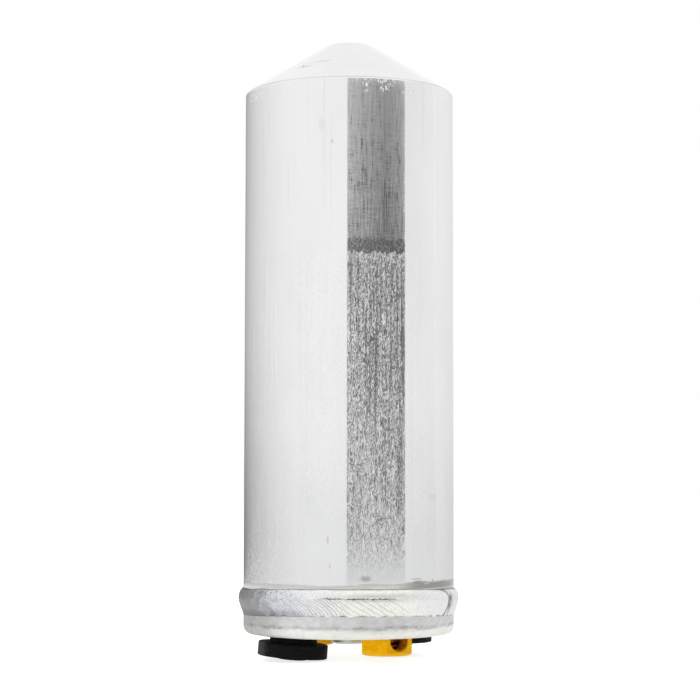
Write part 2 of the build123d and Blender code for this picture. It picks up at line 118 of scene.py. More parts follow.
class Bench:
    """Blender's own modelling tools, used on one piece at a time."""

    @staticmethod
    def clear() -> None:
        """Leaves edit mode and deselects everything."""
        if bpy.context.mode != "OBJECT":
            bpy.ops.object.mode_set(mode="OBJECT")
        bpy.ops.object.select_all(action="DESELECT")

    @classmethod
    def pick(cls, piece: bpy.types.Object) -> None:
        """Makes one piece the only selected one, and the active one."""
        cls.clear()
        piece.hide_set(False)
        piece.select_set(True)
        bpy.context.view_layer.objects.active = piece

    @classmethod
    @contextmanager
    def editing(cls, piece: bpy.types.Object) -> Iterator[None]:
        """Opens a piece in edit mode with all of it selected, and closes it afterwards.

        Args:
            piece: The piece to edit.
        """
        cls.pick(piece)
        bpy.ops.object.mode_set(mode="EDIT")
        bpy.ops.mesh.select_all(action="SELECT")
        yield
        bpy.ops.object.mode_set(mode="OBJECT")

    @classmethod
    def point(cls, name: str, place: Vector) -> bpy.types.Object:
        """Makes a piece of one vertex, and leaves it in edit mode.

        Args:
            name: The new piece's name.
            place: The vertex's place in metres.

        Returns:
            The piece.
        """
        cls.clear()
        bpy.ops.mesh.primitive_plane_add(size=MM, location=ORIGIN)
        piece = bpy.context.active_object
        piece.name = name
        piece.data.name = name
        bpy.ops.object.mode_set(mode="EDIT")
        bpy.ops.mesh.select_all(action="SELECT")
        bpy.ops.mesh.merge(type="CENTER")
        bpy.ops.transform.translate(value=place)
        return piece

    @staticmethod
    def select_at(piece: bpy.types.Object, *places: Vector) -> None:
        """Selects the vertices at some places, in edit mode.

        Args:
            piece: The piece that is being edited.
            places: The places in metres.
        """
        same_place = 1e-7
        bpy.ops.mesh.select_mode(type="VERT")
        bpy.ops.mesh.select_all(action="DESELECT")
        mesh = bmesh.from_edit_mesh(piece.data)
        for vertex in mesh.verts:
            if any((vertex.co - place).length < same_place for place in places):
                vertex.select = True
        mesh.select_flush_mode()
        bmesh.update_edit_mesh(piece.data)

    @classmethod
    def profile(cls, name: str, corners: Sequence[Corner], closed: bool) -> bpy.types.Object:
        """Draws half a section in the upright plane, one extruded vertex after another.

        Args:
            name: The new piece's name.
            corners: The section's corners in order.
            closed: Whether the last corner is joined to the first.

        Returns:
            The piece, still in edit mode.
        """
        places = [Vector((corner.radius * MM, 0, corner.height * MM)) for corner in corners]
        piece = cls.point(name, places[0])
        for corner, start, end in zip(corners[1:], places, places[1:]):
            step = (end - start) / (corner.cuts + 1)
            for _ in range(corner.cuts + 1):
                bpy.ops.mesh.extrude_region_move(TRANSFORM_OT_translate={"value": step})
        if closed:
            cls.select_at(piece, places[0], places[-1])
            bpy.ops.mesh.edge_face_add()
        for corner, place in zip(corners, places):
            if corner.rounding > 0:
                cls.select_at(piece, place)
                bpy.ops.mesh.bevel(offset=corner.rounding * MM, segments=6, affect="VERTICES")
        return piece

    @classmethod
    def turned(cls, name: str, corners: Sequence[Corner], steps: int, closed: bool = False,
               smooth_angle: float = 35.0) -> bpy.types.Object:
        """Turns a section round the upright axis.

        Args:
            name: The new piece's name.
            corners: The section's corners in order.
            steps: How many steps one turn has.
            closed: Whether the section is a closed ring that stays off the axis.
            smooth_angle: Edges flatter than this many degrees are shaded smooth.

        Returns:
            The turned piece, in object mode.
        """
        piece = cls.profile(name, corners, closed)
        bpy.ops.mesh.select_all(action="SELECT")
        bpy.ops.mesh.spin(steps=steps, angle=FULL_TURN, center=ORIGIN, axis=(0, 0, 1))
        cls.sew(piece)
        cls.smooth(piece, smooth_angle)
        return piece

    @classmethod
    def sew(cls, piece: bpy.types.Object) -> None:
        """Merges doubles, closes poles and turns all faces outwards."""
        with cls.editing(piece):
            bpy.ops.mesh.remove_doubles(threshold=1e-6)
            bpy.ops.mesh.dissolve_degenerate(threshold=1e-7)
            bpy.ops.mesh.select_all(action="SELECT")
            bpy.ops.mesh.normals_make_consistent(inside=False)

    @classmethod
    def triangulate(cls, piece: bpy.types.Object) -> None:
        """Splits all faces into triangles, so that faces with holes stay whole."""
        with cls.editing(piece):
            bpy.ops.mesh.quads_convert_to_tris(quad_method="BEAUTY", ngon_method="BEAUTY")
            bpy.ops.mesh.remove_doubles(threshold=2e-6)
            bpy.ops.mesh.dissolve_degenerate(threshold=1e-6)

    @classmethod
    def smooth(cls, piece: bpy.types.Object, angle: float) -> None:
        """Shades a piece smooth, but for edges sharper than an angle in degrees."""
        cls.pick(piece)
        bpy.ops.object.shade_smooth_by_angle(angle=math.radians(angle))

    @classmethod
    def move(cls, piece: bpy.types.Object, step: Vector) -> None:
        """Moves all of a piece's mesh, and leaves its object at the origin."""
        with cls.editing(piece):
            bpy.ops.transform.translate(value=step)

    @staticmethod
    def turn(piece: bpy.types.Object, degrees: float, axis: str) -> None:
        """Turns all of a piece's mesh about X, Y or Z, by the right-hand rule."""
        piece.data.transform(Matrix.Rotation(math.radians(degrees), 4, axis))

    @classmethod
    def cut(cls, piece: bpy.types.Object, tool: bpy.types.Object, operation: str = "DIFFERENCE") -> None:
        """Cuts a piece with a tool piece, and takes the tool away.

        Args:
            piece: The piece that is cut.
            tool: The piece that cuts.
            operation: The Boolean modifier's operation.
        """
        cls.pick(piece)
        modifier = piece.modifiers.new("cut", "BOOLEAN")
        modifier.object = tool
        modifier.operation = operation
        modifier.solver = "MANIFOLD"
        bpy.ops.object.modifier_apply(modifier=modifier.name)
        bpy.data.objects.remove(tool)


# ---------------------------------------------------------------- shader board


class Signal:
    """What a node gives. Plain arithmetic with it places Math nodes."""

    def __init__(self, board: "Board", socket: bpy.types.NodeSocket) -> None:
        """Keeps a node's output and the board that it is on."""
        self.board = board
        self.socket = socket

    def __add__(self, other: "Value") -> "Signal":
        """Adds a value."""
        return self.board.math("ADD", self, other)

    def __sub__(self, other: "Value") -> "Signal":
        """Takes a value away."""
        return self.board.math("SUBTRACT", self, other)

    def __rsub__(self, other: float) -> "Signal":
        """Takes this away from a number."""
        return self.board.math("SUBTRACT", other, self)

    def __mul__(self, other: "Value") -> "Signal":
        """Multiplies by a value."""
        return self.board.math("MULTIPLY", self, other)

    def __truediv__(self, other: "Value") -> "Signal":
        """Divides by a value."""
        return self.board.math("DIVIDE", self, other)

    def __pow__(self, power: float) -> "Signal":
        """Raises to a power."""
        return self.board.math("POWER", self, power)

    def __abs__(self) -> "Signal":
        """Drops the sign."""
        return self.board.math("ABSOLUTE", self)


Value = Union[Signal, float]
Paint = Union[Signal, Triple]


class Effect(Enum):
    """The shader effects that several finishes share, with the names of their numbers."""

    GRAIN = ("Across X", "Across Y", "Across Z", "Low", "High")
    SPECKS = ("Scale", "Size", "Share")
    STAIN_LINE = ("Level", "Ragged", "Scale", "Softness")
    DAB = ("Mark X", "Mark Z", "Half Width", "Half Height", "Ragged")


class Board:
    """Lays out shader nodes in one tree and joins them, by a place and its x, y and z."""

    def __init__(self, tree: bpy.types.NodeTree) -> None:
        """Takes over a node tree and empties it."""
        self.tree = tree
        self.tree.nodes.clear()

    @classmethod
    def of_material(cls, name: str) -> Tuple[bpy.types.Material, "Board"]:
        """Makes a material, and a board that goes by its Object coordinates.

        Args:
            name: The material's name.

        Returns:
            The material and its board.
        """
        material = bpy.data.materials.new(name)
        material.use_nodes = True
        board = cls(material.node_tree)
        board.locate(board.signal("ShaderNodeTexCoord", give="Object"))
        return material, board

    def locate(self, place: Signal) -> None:
        """Sets the place that patterns go by."""
        self.place = place
        self.x, self.y, self.z = self.split(place)

    def feed(self, node: bpy.types.Node, inputs: Inputs) -> None:
        """Joins sockets to a node's inputs, or sets the inputs to plain values.

        Args:
            node: The node.
            inputs: What each input gets, by its name or number.
        """
        for name, value in inputs.items():
            target = node.inputs[name]
            if isinstance(value, Signal):
                self.tree.links.new(value.socket, target)
            elif isinstance(value, tuple) and len(value) == 3 and target.type == "RGBA":
                target.default_value = (*value, 1.0)
            else:
                target.default_value = value

    def put(self, kind: str, inputs: Optional[Inputs] = None, **settings: object) -> bpy.types.Node:
        """Places one node, sets its properties and feeds its inputs.

        Args:
            kind: The node's type.
            inputs: What each input gets.
            settings: The node's properties.

        Returns:
            The node.
        """
        node = self.tree.nodes.new(kind)
        for name, value in settings.items():
            setattr(node, name, value)
        self.feed(node, inputs or {})
        return node

    def signal(self, kind: str, inputs: Optional[Inputs] = None, give: Union[str, int] = 0,
               **settings: object) -> Signal:
        """Places one node as put does, and gives one of its outputs."""
        return Signal(self, self.put(kind, inputs, **settings).outputs[give])

    def math(self, operation: str, first: Value, second: Value = 0.0, third: Value = 0.0,
             clamp: bool = False) -> Signal:
        """Places a Math node and gives its result."""
        numbers = {0: first, 1: second, 2: third}
        return self.signal("ShaderNodeMath", numbers, operation=operation, use_clamp=clamp)

    def spread(self, value: Value, low: Value, high: Value, to_low: float = 0.0, to_high: float = 1.0,
               smooth: bool = True) -> Signal:
        """Maps a range of values to another one, clamped at both ends.

        Args:
            value: What is mapped.
            low: The range's start, which may be above its end.
            high: Its end.
            to_low: What the start becomes.
            to_high: What the end becomes.
            smooth: Whether the middle is steeper than the ends.

        Returns:
            The mapped value.
        """
        ends = {"Value": value, "From Min": low, "From Max": high, "To Min": to_low, "To Max": to_high}
        curve = "SMOOTHSTEP" if smooth else "LINEAR"
        return self.signal("ShaderNodeMapRange", ends, interpolation_type=curve)

    def blend(self, mask: Value, under: Paint, over: Paint) -> Signal:
        """Lays one colour over another by a mask."""
        return self.signal("ShaderNodeMix", {0: mask, 6: under, 7: over}, give=2, data_type="RGBA")

    def blend_value(self, mask: Value, under: Value, over: Value) -> Signal:
        """Goes from one number to another by a mask."""
        return self.signal("ShaderNodeMix", {0: mask, 2: under, 3: over}, data_type="FLOAT")

    def stretch(self, *scale: float) -> Signal:
        """Gives the place, scaled along the three axes."""
        return self.signal("ShaderNodeMapping", {"Vector": self.place, "Scale": scale})

    def noise(self, scale: Union[float, Triple], detail: float = 2.0, roughness: float = 0.5,
              distortion: float = 0.0, place: Optional[Signal] = None) -> Signal:
        """Places a noise pattern and gives its value.

        Args:
            scale: One scale, or one for each axis, per metre.
            detail: How many finer layers it has.
            roughness: How strong the finer layers are.
            distortion: How much it is warped.
            place: What it goes by, if not the board's place.

        Returns:
            The value, mostly from 0.3 to 0.7.
        """
        if isinstance(scale, tuple):
            place = self.stretch(*scale)
            scale = 1.0
        return self.signal("ShaderNodeTexNoise", {
            "Vector": place or self.place, "Scale": scale, "Detail": detail, "Roughness": roughness,
            "Distortion": distortion})

    def bump(self, height: Signal, distance: float, strength: float = 1.0,
             normal: Optional[Signal] = None) -> Signal:
        """Turns a height into a normal.

        Args:
            height: The height.
            distance: How far 1 stands out, in metres.
            strength: How much of it counts.
            normal: The normal it starts from, if not the surface's own.

        Returns:
            The normal.
        """
        inputs = {"Height": height, "Distance": distance, "Strength": strength}
        if normal is not None:
            inputs["Normal"] = normal
        return self.signal("ShaderNodeBump", inputs)

    def split(self, triple: Signal) -> List[Signal]:
        """Splits a place or a colour into its three numbers."""
        node = self.put("ShaderNodeSeparateXYZ", {0: triple})
        return [Signal(self, output) for output in node.outputs]

    def cells(self, scale: Value) -> Tuple[Signal, Signal]:
        """Places scattered cells, and gives the distance to a cell's middle and its random number.

        Args:
            scale: Cells per metre.

        Returns:
            The distance and the number.
        """
        node = self.put("ShaderNodeTexVoronoi", {"Vector": self.place, "Scale": scale})
        chance = self.split(Signal(self, node.outputs["Color"]))[0]
        return Signal(self, node.outputs["Distance"]), chance

    def effect(self, kind: Effect, *numbers: float, place: Optional[Signal] = None) -> Signal:
        """Places a shared effect, and gives its mask.

        Args:
            kind: Which effect.
            numbers: Its numbers, in the order of their names.
            place: What it goes by, if not the board's place.

        Returns:
            The mask, from 0 to 1.
        """
        inputs = {"Place": place or self.place, **dict(zip(kind.value, numbers))}
        return self.signal("ShaderNodeGroup", inputs, node_tree=Effects.tree(kind))


class Effects:
    """Builds each shared effect once, as a node group."""

    made: Dict[Effect, bpy.types.NodeTree] = {}

    @classmethod
    def tree(cls, kind: Effect) -> bpy.types.NodeTree:
        """Gives an effect's node group, and builds it the first time.

        Args:
            kind: Which effect.

        Returns:
            The group, from a place and the effect's numbers to a mask.
        """
        if kind not in cls.made:
            name = kind.name.lower().replace("_", " ")
            tree = bpy.data.node_groups.new(name, "ShaderNodeTree")
            tree.interface.new_socket("Place", in_out="INPUT", socket_type="NodeSocketVector")
            for label in kind.value:
                tree.interface.new_socket(label, in_out="INPUT", socket_type="NodeSocketFloat")
            tree.interface.new_socket("Mask", in_out="OUTPUT", socket_type="NodeSocketFloat")
            board = Board(tree)
            given = board.put("NodeGroupInput")
            signals = [Signal(board, given.outputs[label]) for label in ("Place", *kind.value)]
            board.locate(signals[0])
            makers = {Effect.GRAIN: cls.grain, Effect.SPECKS: cls.specks,
                      Effect.STAIN_LINE: cls.stain_line, Effect.DAB: cls.dab}
            board.put("NodeGroupOutput", {0: makers[kind](board, *signals[1:])})
            cls.made[kind] = tree
        return cls.made[kind]

    @staticmethod
    def grain(board: Board, x: Signal, y: Signal, z: Signal, low: Signal, high: Signal) -> Signal:
        """Long fine lines: drawn, turned or brushed metal.

        Args:
            board: The group's board.
            x, y, z: How fine it is along each axis.
            low, high: The values where it starts and where it is full.

        Returns:
            The mask.
        """
        scale = board.signal("ShaderNodeCombineXYZ", {0: x, 1: y, 2: z})
        stretched = board.signal("ShaderNodeVectorMath", {0: board.place, 1: scale}, operation="MULTIPLY")
        return board.spread(board.noise(1.0, 4.0, 0.6, 0.4, stretched), low, high)

    @staticmethod
    def specks(board: Board, scale: Signal, size: Signal, share: Signal) -> Signal:
        """Small scattered spots: pits, soot specks or dust.

        Args:
            board: The group's board.
            scale: Cells per metre.
            size: The spots' size, against a cell's.
            share: How many cells have a spot.

        Returns:
            The mask.
        """
        distance, chance = board.cells(scale)
        near = board.spread(distance / size, 1.0, 0.4)
        return board.math("MULTIPLY", near, board.math("LESS_THAN", chance, share), clamp=True)

    @staticmethod
    def stain_line(board: Board, level: Signal, ragged: Signal, scale: Signal, softness: Signal) -> Signal:
        """A ragged level: 1 above it and 0 below it."""
        swing = (board.noise(scale, 4.0, 0.65) - 0.5) * ragged
        return board.spread((board.z + swing - level) / softness, -1.0, 1.0)

    @staticmethod
    def dab(board: Board, x: Signal, z: Signal, width: Signal, height: Signal, ragged: Signal) -> Signal:
        """One small ragged mark on the front of a piece.

        Args:
            board: The group's board.
            x, z: The mark's middle.
            width, height: Half its size.
            ragged: How torn its edge is.

        Returns:
            The mask.
        """
        across = abs((board.x - x) / width)
        along = abs((board.z - z) / height)
        reach = board.math("SQRT", across ** 2.0 + along ** 2.0)
        swing = (board.noise(2500.0, 3.0, 0.7) - 0.5) * ragged
        front = board.math("LESS_THAN", board.y, 0.0)
        return board.math("MULTIPLY", board.spread(reach + swing, 1.0, 0.45), front, clamp=True)


# ---------------------------------------------------------------- finishes


class Finish:
    """A surface finish. Each kind is a frozen dataclass that paints its own material."""

    name: str

    def paint(self, board: Board) -> Inputs:
        """Lays out the finish's nodes, and says what each of the shader's inputs gets.

        Args:
            board: The material's board.

        Returns:
            What each of the shader's inputs gets.
        """
        raise NotImplementedError

    def make(self) -> bpy.types.Material:
        """Builds the material: one Principled shader, fed by the finish."""
        material, board = Board.of_material(self.name)
        shader = board.signal("ShaderNodeBsdfPrincipled", self.paint(board))
        board.put("ShaderNodeOutputMaterial", {"Surface": shader})
        return material

    @staticmethod
    def dress(piece: bpy.types.Object, material: bpy.types.Material, slot: str = "") -> None:
        """Gives a piece its one material.

        Args:
            piece: The piece.
            material: Its material.
            slot: Not used.
        """
        piece.data.materials.clear()
        piece.data.materials.append(material)


@dataclass(frozen=True)
class Mark:
    """A small mark on the can's front, in millimetres."""

    x: float
    z: float
    half_width: float
    half_height: float
    darkness: float
    ragged: float = 0.6


@dataclass(frozen=True)
class CanFinish(Finish):
    """Drawn aluminium: bright, with lengthwise grain that is finer above a ring and wavier below it."""

    name: str = "canister_aluminium"
    bright: Triple = (0.86, 0.86, 0.855)
    smear: Triple = (0.82, 0.822, 0.82)
    streak: Triple = (0.70, 0.70, 0.70)
    # Tone that the metal darkens to towards the foot.
    foot_darkening: Triple = (0.66, 0.66, 0.66)
    heat: Triple = (0.50, 0.50, 0.47)
    # Painted highlight: a thin bright line just above the weld.
    painted_highlight_line: Triple = (0.92, 0.92, 0.91)
    seam: Triple = (0.36, 0.36, 0.36)
    soot: Triple = (0.30, 0.29, 0.27)
    ring_height: float = 110.7
    ring_half_width: float = 1.9
    ring_softness: float = 0.25
    seam_height: float = 157.3
    smear_top: float = 18.3
    highlight_line_height: float = 16.5
    clear_roughness: float = 0.07
    hazy_roughness: float = 0.20
    grain_turn: float = 0.25
    marks: Tuple[Mark, ...] = (
        Mark(-12.98, 162.99, 0.45, 0.45, 0.75),
        Mark(-9.9, 163.9, 3.2, 0.16, 0.35),
        Mark(-4.66, 139.36, 0.5, 0.9, 0.3),
        Mark(17.96, 154.28, 0.25, 0.25, 0.7),
        Mark(23.29, 41.64, 1.4, 1.4, 0.12),
        Mark(-5.68, 30.09, 0.35, 1.6, 0.35),
        Mark(-5.13, 23.07, 0.3, 1.0, 0.3),
        Mark(18.65, 18.45, 1.0, 0.35, 0.8),
        Mark(4.63, 19.57, 1.7, 1.0, 0.6, 1.9),
        Mark(-12.6, 162.6, 2.6, 0.55, 0.34, 1.6),
        Mark(-7.2, 164.2, 2.8, 0.35, 0.26, 1.6),
        Mark(-7.6, 144.2, 1.3, 2.2, 0.10, 1.8),
        Mark(18.6, 19.3, 2.2, 0.3, 0.5, 1.2),
        Mark(23.23, 18.77, 0.4, 0.4, 0.6),
    )

    def paint(self, board: Board) -> Inputs:
        """Leans the surface into streaks and glints, and colours it.

        Args:
            board: The material's board.

        Returns:
            What each of the shader's inputs gets.
        """
        edge = board.noise((800.0, 800.0, 420.0), 4.0, 0.7)
        ragged_z = board.z + board.spread(edge, 0.3, 0.7, -0.8 * MM, 0.8 * MM)
        ring_low = (self.ring_height - self.ring_half_width) * MM
        ring_high = (self.ring_height + self.ring_half_width) * MM
        soft = self.ring_softness * MM
        above = board.spread(ragged_z, ring_high - soft, ring_high + soft)
        below = board.spread(ragged_z, ring_low + soft, ring_low - soft)
        streaks = self.upper_streaks(board) * above
        lower = self.lower_glints(board) * below
        mottle = board.noise((2300.0, 2300.0, 1500.0), 3.0, 0.7)
        ring = board.math("SUBTRACT", 1.0 - above, below, clamp=True)
        ring_lean = ring * board.spread(mottle, 0.36, 0.66, -0.045, 0.012)
        lower_lean = lower * board.spread(board.z, 20.0 * MM, 112.0 * MM, -0.08, -0.22, smooth=False)
        patch = self.shoulder_patch(board) * 0.2
        lean = board.signal("ShaderNodeCombineXYZ", {2: ring_lean + lower_lean + (patch + streaks)})
        upright = board.signal("ShaderNodeNewGeometry", give="Normal")
        leaning = board.signal("ShaderNodeVectorMath", {0: upright, 1: lean}, operation="ADD")
        unit = board.signal("ShaderNodeVectorMath", {0: leaning}, operation="NORMALIZE")
        drift = board.noise((90.0, 90.0, 26.0), 3.0)
        return {
            "Normal": board.bump(drift, 0.01 * MM, 0.4, unit),
            "Roughness": board.blend_value(lower, self.clear_roughness, self.hazy_roughness),
            "Anisotropic": 0.95,
            "Anisotropic Rotation": self.grain_turn,
            "Base Color": self.bright_with_marks(board),
            "Metallic": 1.0,
        }

    def upper_streaks(self, board: Board) -> Signal:
        """Fine upright lines with a faint weave, drawn by how the surface leans.

        Args:
            board: The material's board.

        Returns:
            How far the normal leans up, below 0 where it leans down.
        """
        fine = board.noise((2300.0, 2300.0, 150.0), 4.0, 0.72, 0.3)
        broad = board.noise((600.0, 600.0, 26.0))
        weave = board.noise((420.0, 420.0, 3300.0), 3.0, 0.7)
        lines = fine + (broad - 0.5) * 0.35 + (weave - 0.5) * 0.55
        down_lean = board.spread(board.z, self.ring_height * MM, 128.0 * MM, -0.022, -0.075)
        up_lean = board.spread(board.z, 120.0 * MM, 150.0 * MM, 0.085, 0.030)
        return board.spread(lines, 0.48, 0.72) * down_lean + board.spread(lines, 0.52, 0.30) * up_lean

    @staticmethod
    def shoulder_patch(board: Board) -> Signal:
        """Masks scattered bright scuffs just under the shoulder.

        Args:
            board: The material's board.

        Returns:
            The mask.
        """
        speckle = board.noise((2100.0, 2100.0, 1100.0), 4.0, 0.7)
        patch = board.noise((260.0, 260.0, 160.0))
        from_below = board.spread(board.z, 152.0 * MM, 154.5 * MM)
        from_above = board.spread(board.z, 157.2 * MM, 155.8 * MM)
        chosen = board.spread(speckle, 0.54, 0.58) * board.spread(patch, 0.46, 0.54)
        return chosen * (from_below * from_above)

    def lower_glints(self, board: Board) -> Signal:
        """Wavy upright grain like planed wood, with white specks.

        Args:
            board: The material's board.

        Returns:
            How much of the surface leans down, from 0 to 1.
        """
        wavy = board.noise((1500.0, 1500.0, 250.0), 5.0, 0.62, 1.1)
        curls = board.spread(board.math("PINGPONG", wavy * 7.0, 0.5) * 2.0, 0.22, 0.80)
        lanes = board.noise((1000.0, 1000.0, 20.0), 3.0, 0.6)
        ring = self.ring_height
        near_ring = board.spread(board.z, (ring - 6.0) * MM, (ring - 2.0) * MM, 0.0, 0.4)
        foot = board.spread(board.z, 30.0 * MM, 20.0 * MM, 0.0, 0.5)
        share = board.spread(lanes, 0.34, 0.60, 0.42, 1.25) + (near_ring + foot)
        fine = board.noise((5200.0, 5200.0, 1900.0))
        glints = curls * share * board.spread(fine, 0.34, 0.66, 0.55, 1.3)
        specks = board.effect(Effect.SPECKS, 900.0, 0.3, 0.1, place=board.stretch(1.0, 1.0, 0.4))
        return board.math("MINIMUM", board.math("MAXIMUM", glints, specks), 1.0)

    def bright_with_marks(self, board: Board) -> Signal:
        """Lays smears, a darkening towards the foot, small marks, the heat band, a painted highlight line
        just above the weld and the seam's thin line over the bright metal.

        Args:
            board: The material's board.

        Returns:
            The colour.
        """
        patch = board.noise((60.0, 60.0, 22.0), 4.0, 0.6)
        colour = board.blend(board.spread(patch, 0.35, 0.7), self.bright, self.smear)
        streak = board.effect(Effect.GRAIN, 900.0, 900.0, 18.0, 0.60, 0.74)
        colour = board.blend(streak * 0.5, colour, self.streak)
        # Darker towards the foot.
        foot_darkening = board.spread(board.z, 62.0 * MM, 20.0 * MM, 0.0, 0.55, smooth=False)
        colour = board.blend(foot_darkening, colour, self.foot_darkening)
        for mark in self.marks:
            dab = board.effect(Effect.DAB, mark.x * MM, mark.z * MM, mark.half_width * MM,
                               mark.half_height * MM, mark.ragged)
            colour = board.blend(dab * mark.darkness, colour, self.soot)
        colour = self.heat_band(board, colour)
        # A painted highlight line just above the weld, then the seam's thin dark line.
        for height, strength, tone in ((self.highlight_line_height, 0.4, self.painted_highlight_line), (self.seam_height, 0.45, self.seam)):
            line = board.spread(abs(board.z - height * MM), 0.22 * MM, 0.05 * MM)
            colour = board.blend(line * strength, colour, tone)
        return colour

    def heat_band(self, board: Board, colour: Signal) -> Signal:
        """Greys the metal just above the weld: a soft band, thick and sooty towards the right.

        Args:
            board: The material's board.
            colour: The colour so far.

        Returns:
            The colour.
        """
        slow = board.noise((40.0, 40.0, 60.0))
        cloud = board.noise((170.0, 170.0, 700.0), 5.0, 0.7)
        right = board.spread(board.x, 12.0 * MM, 19.5 * MM)
        level = self.smear_top
        top = board.spread(slow, 0.3, 0.7, (level - 0.9) * MM, (level - 0.1) * MM, smooth=False)
        top = top + right * (0.8 * MM)
        top = top + board.spread(cloud, 0.3, 0.7, -0.3 * MM, 0.3 * MM, smooth=False)
        band = board.spread(top - board.z, -0.35 * MM, 0.65 * MM)
        blotchy = band * board.spread(cloud, 0.3, 0.7, 0.45, 1.0)
        colour = board.blend(blotchy * 0.75, colour, self.heat)
        colour = board.blend(band * (1.0 - band) * 1.3, colour, self.soot)
        return board.blend(band * right * board.spread(cloud, 0.24, 0.44) * 0.95, colour, self.soot)


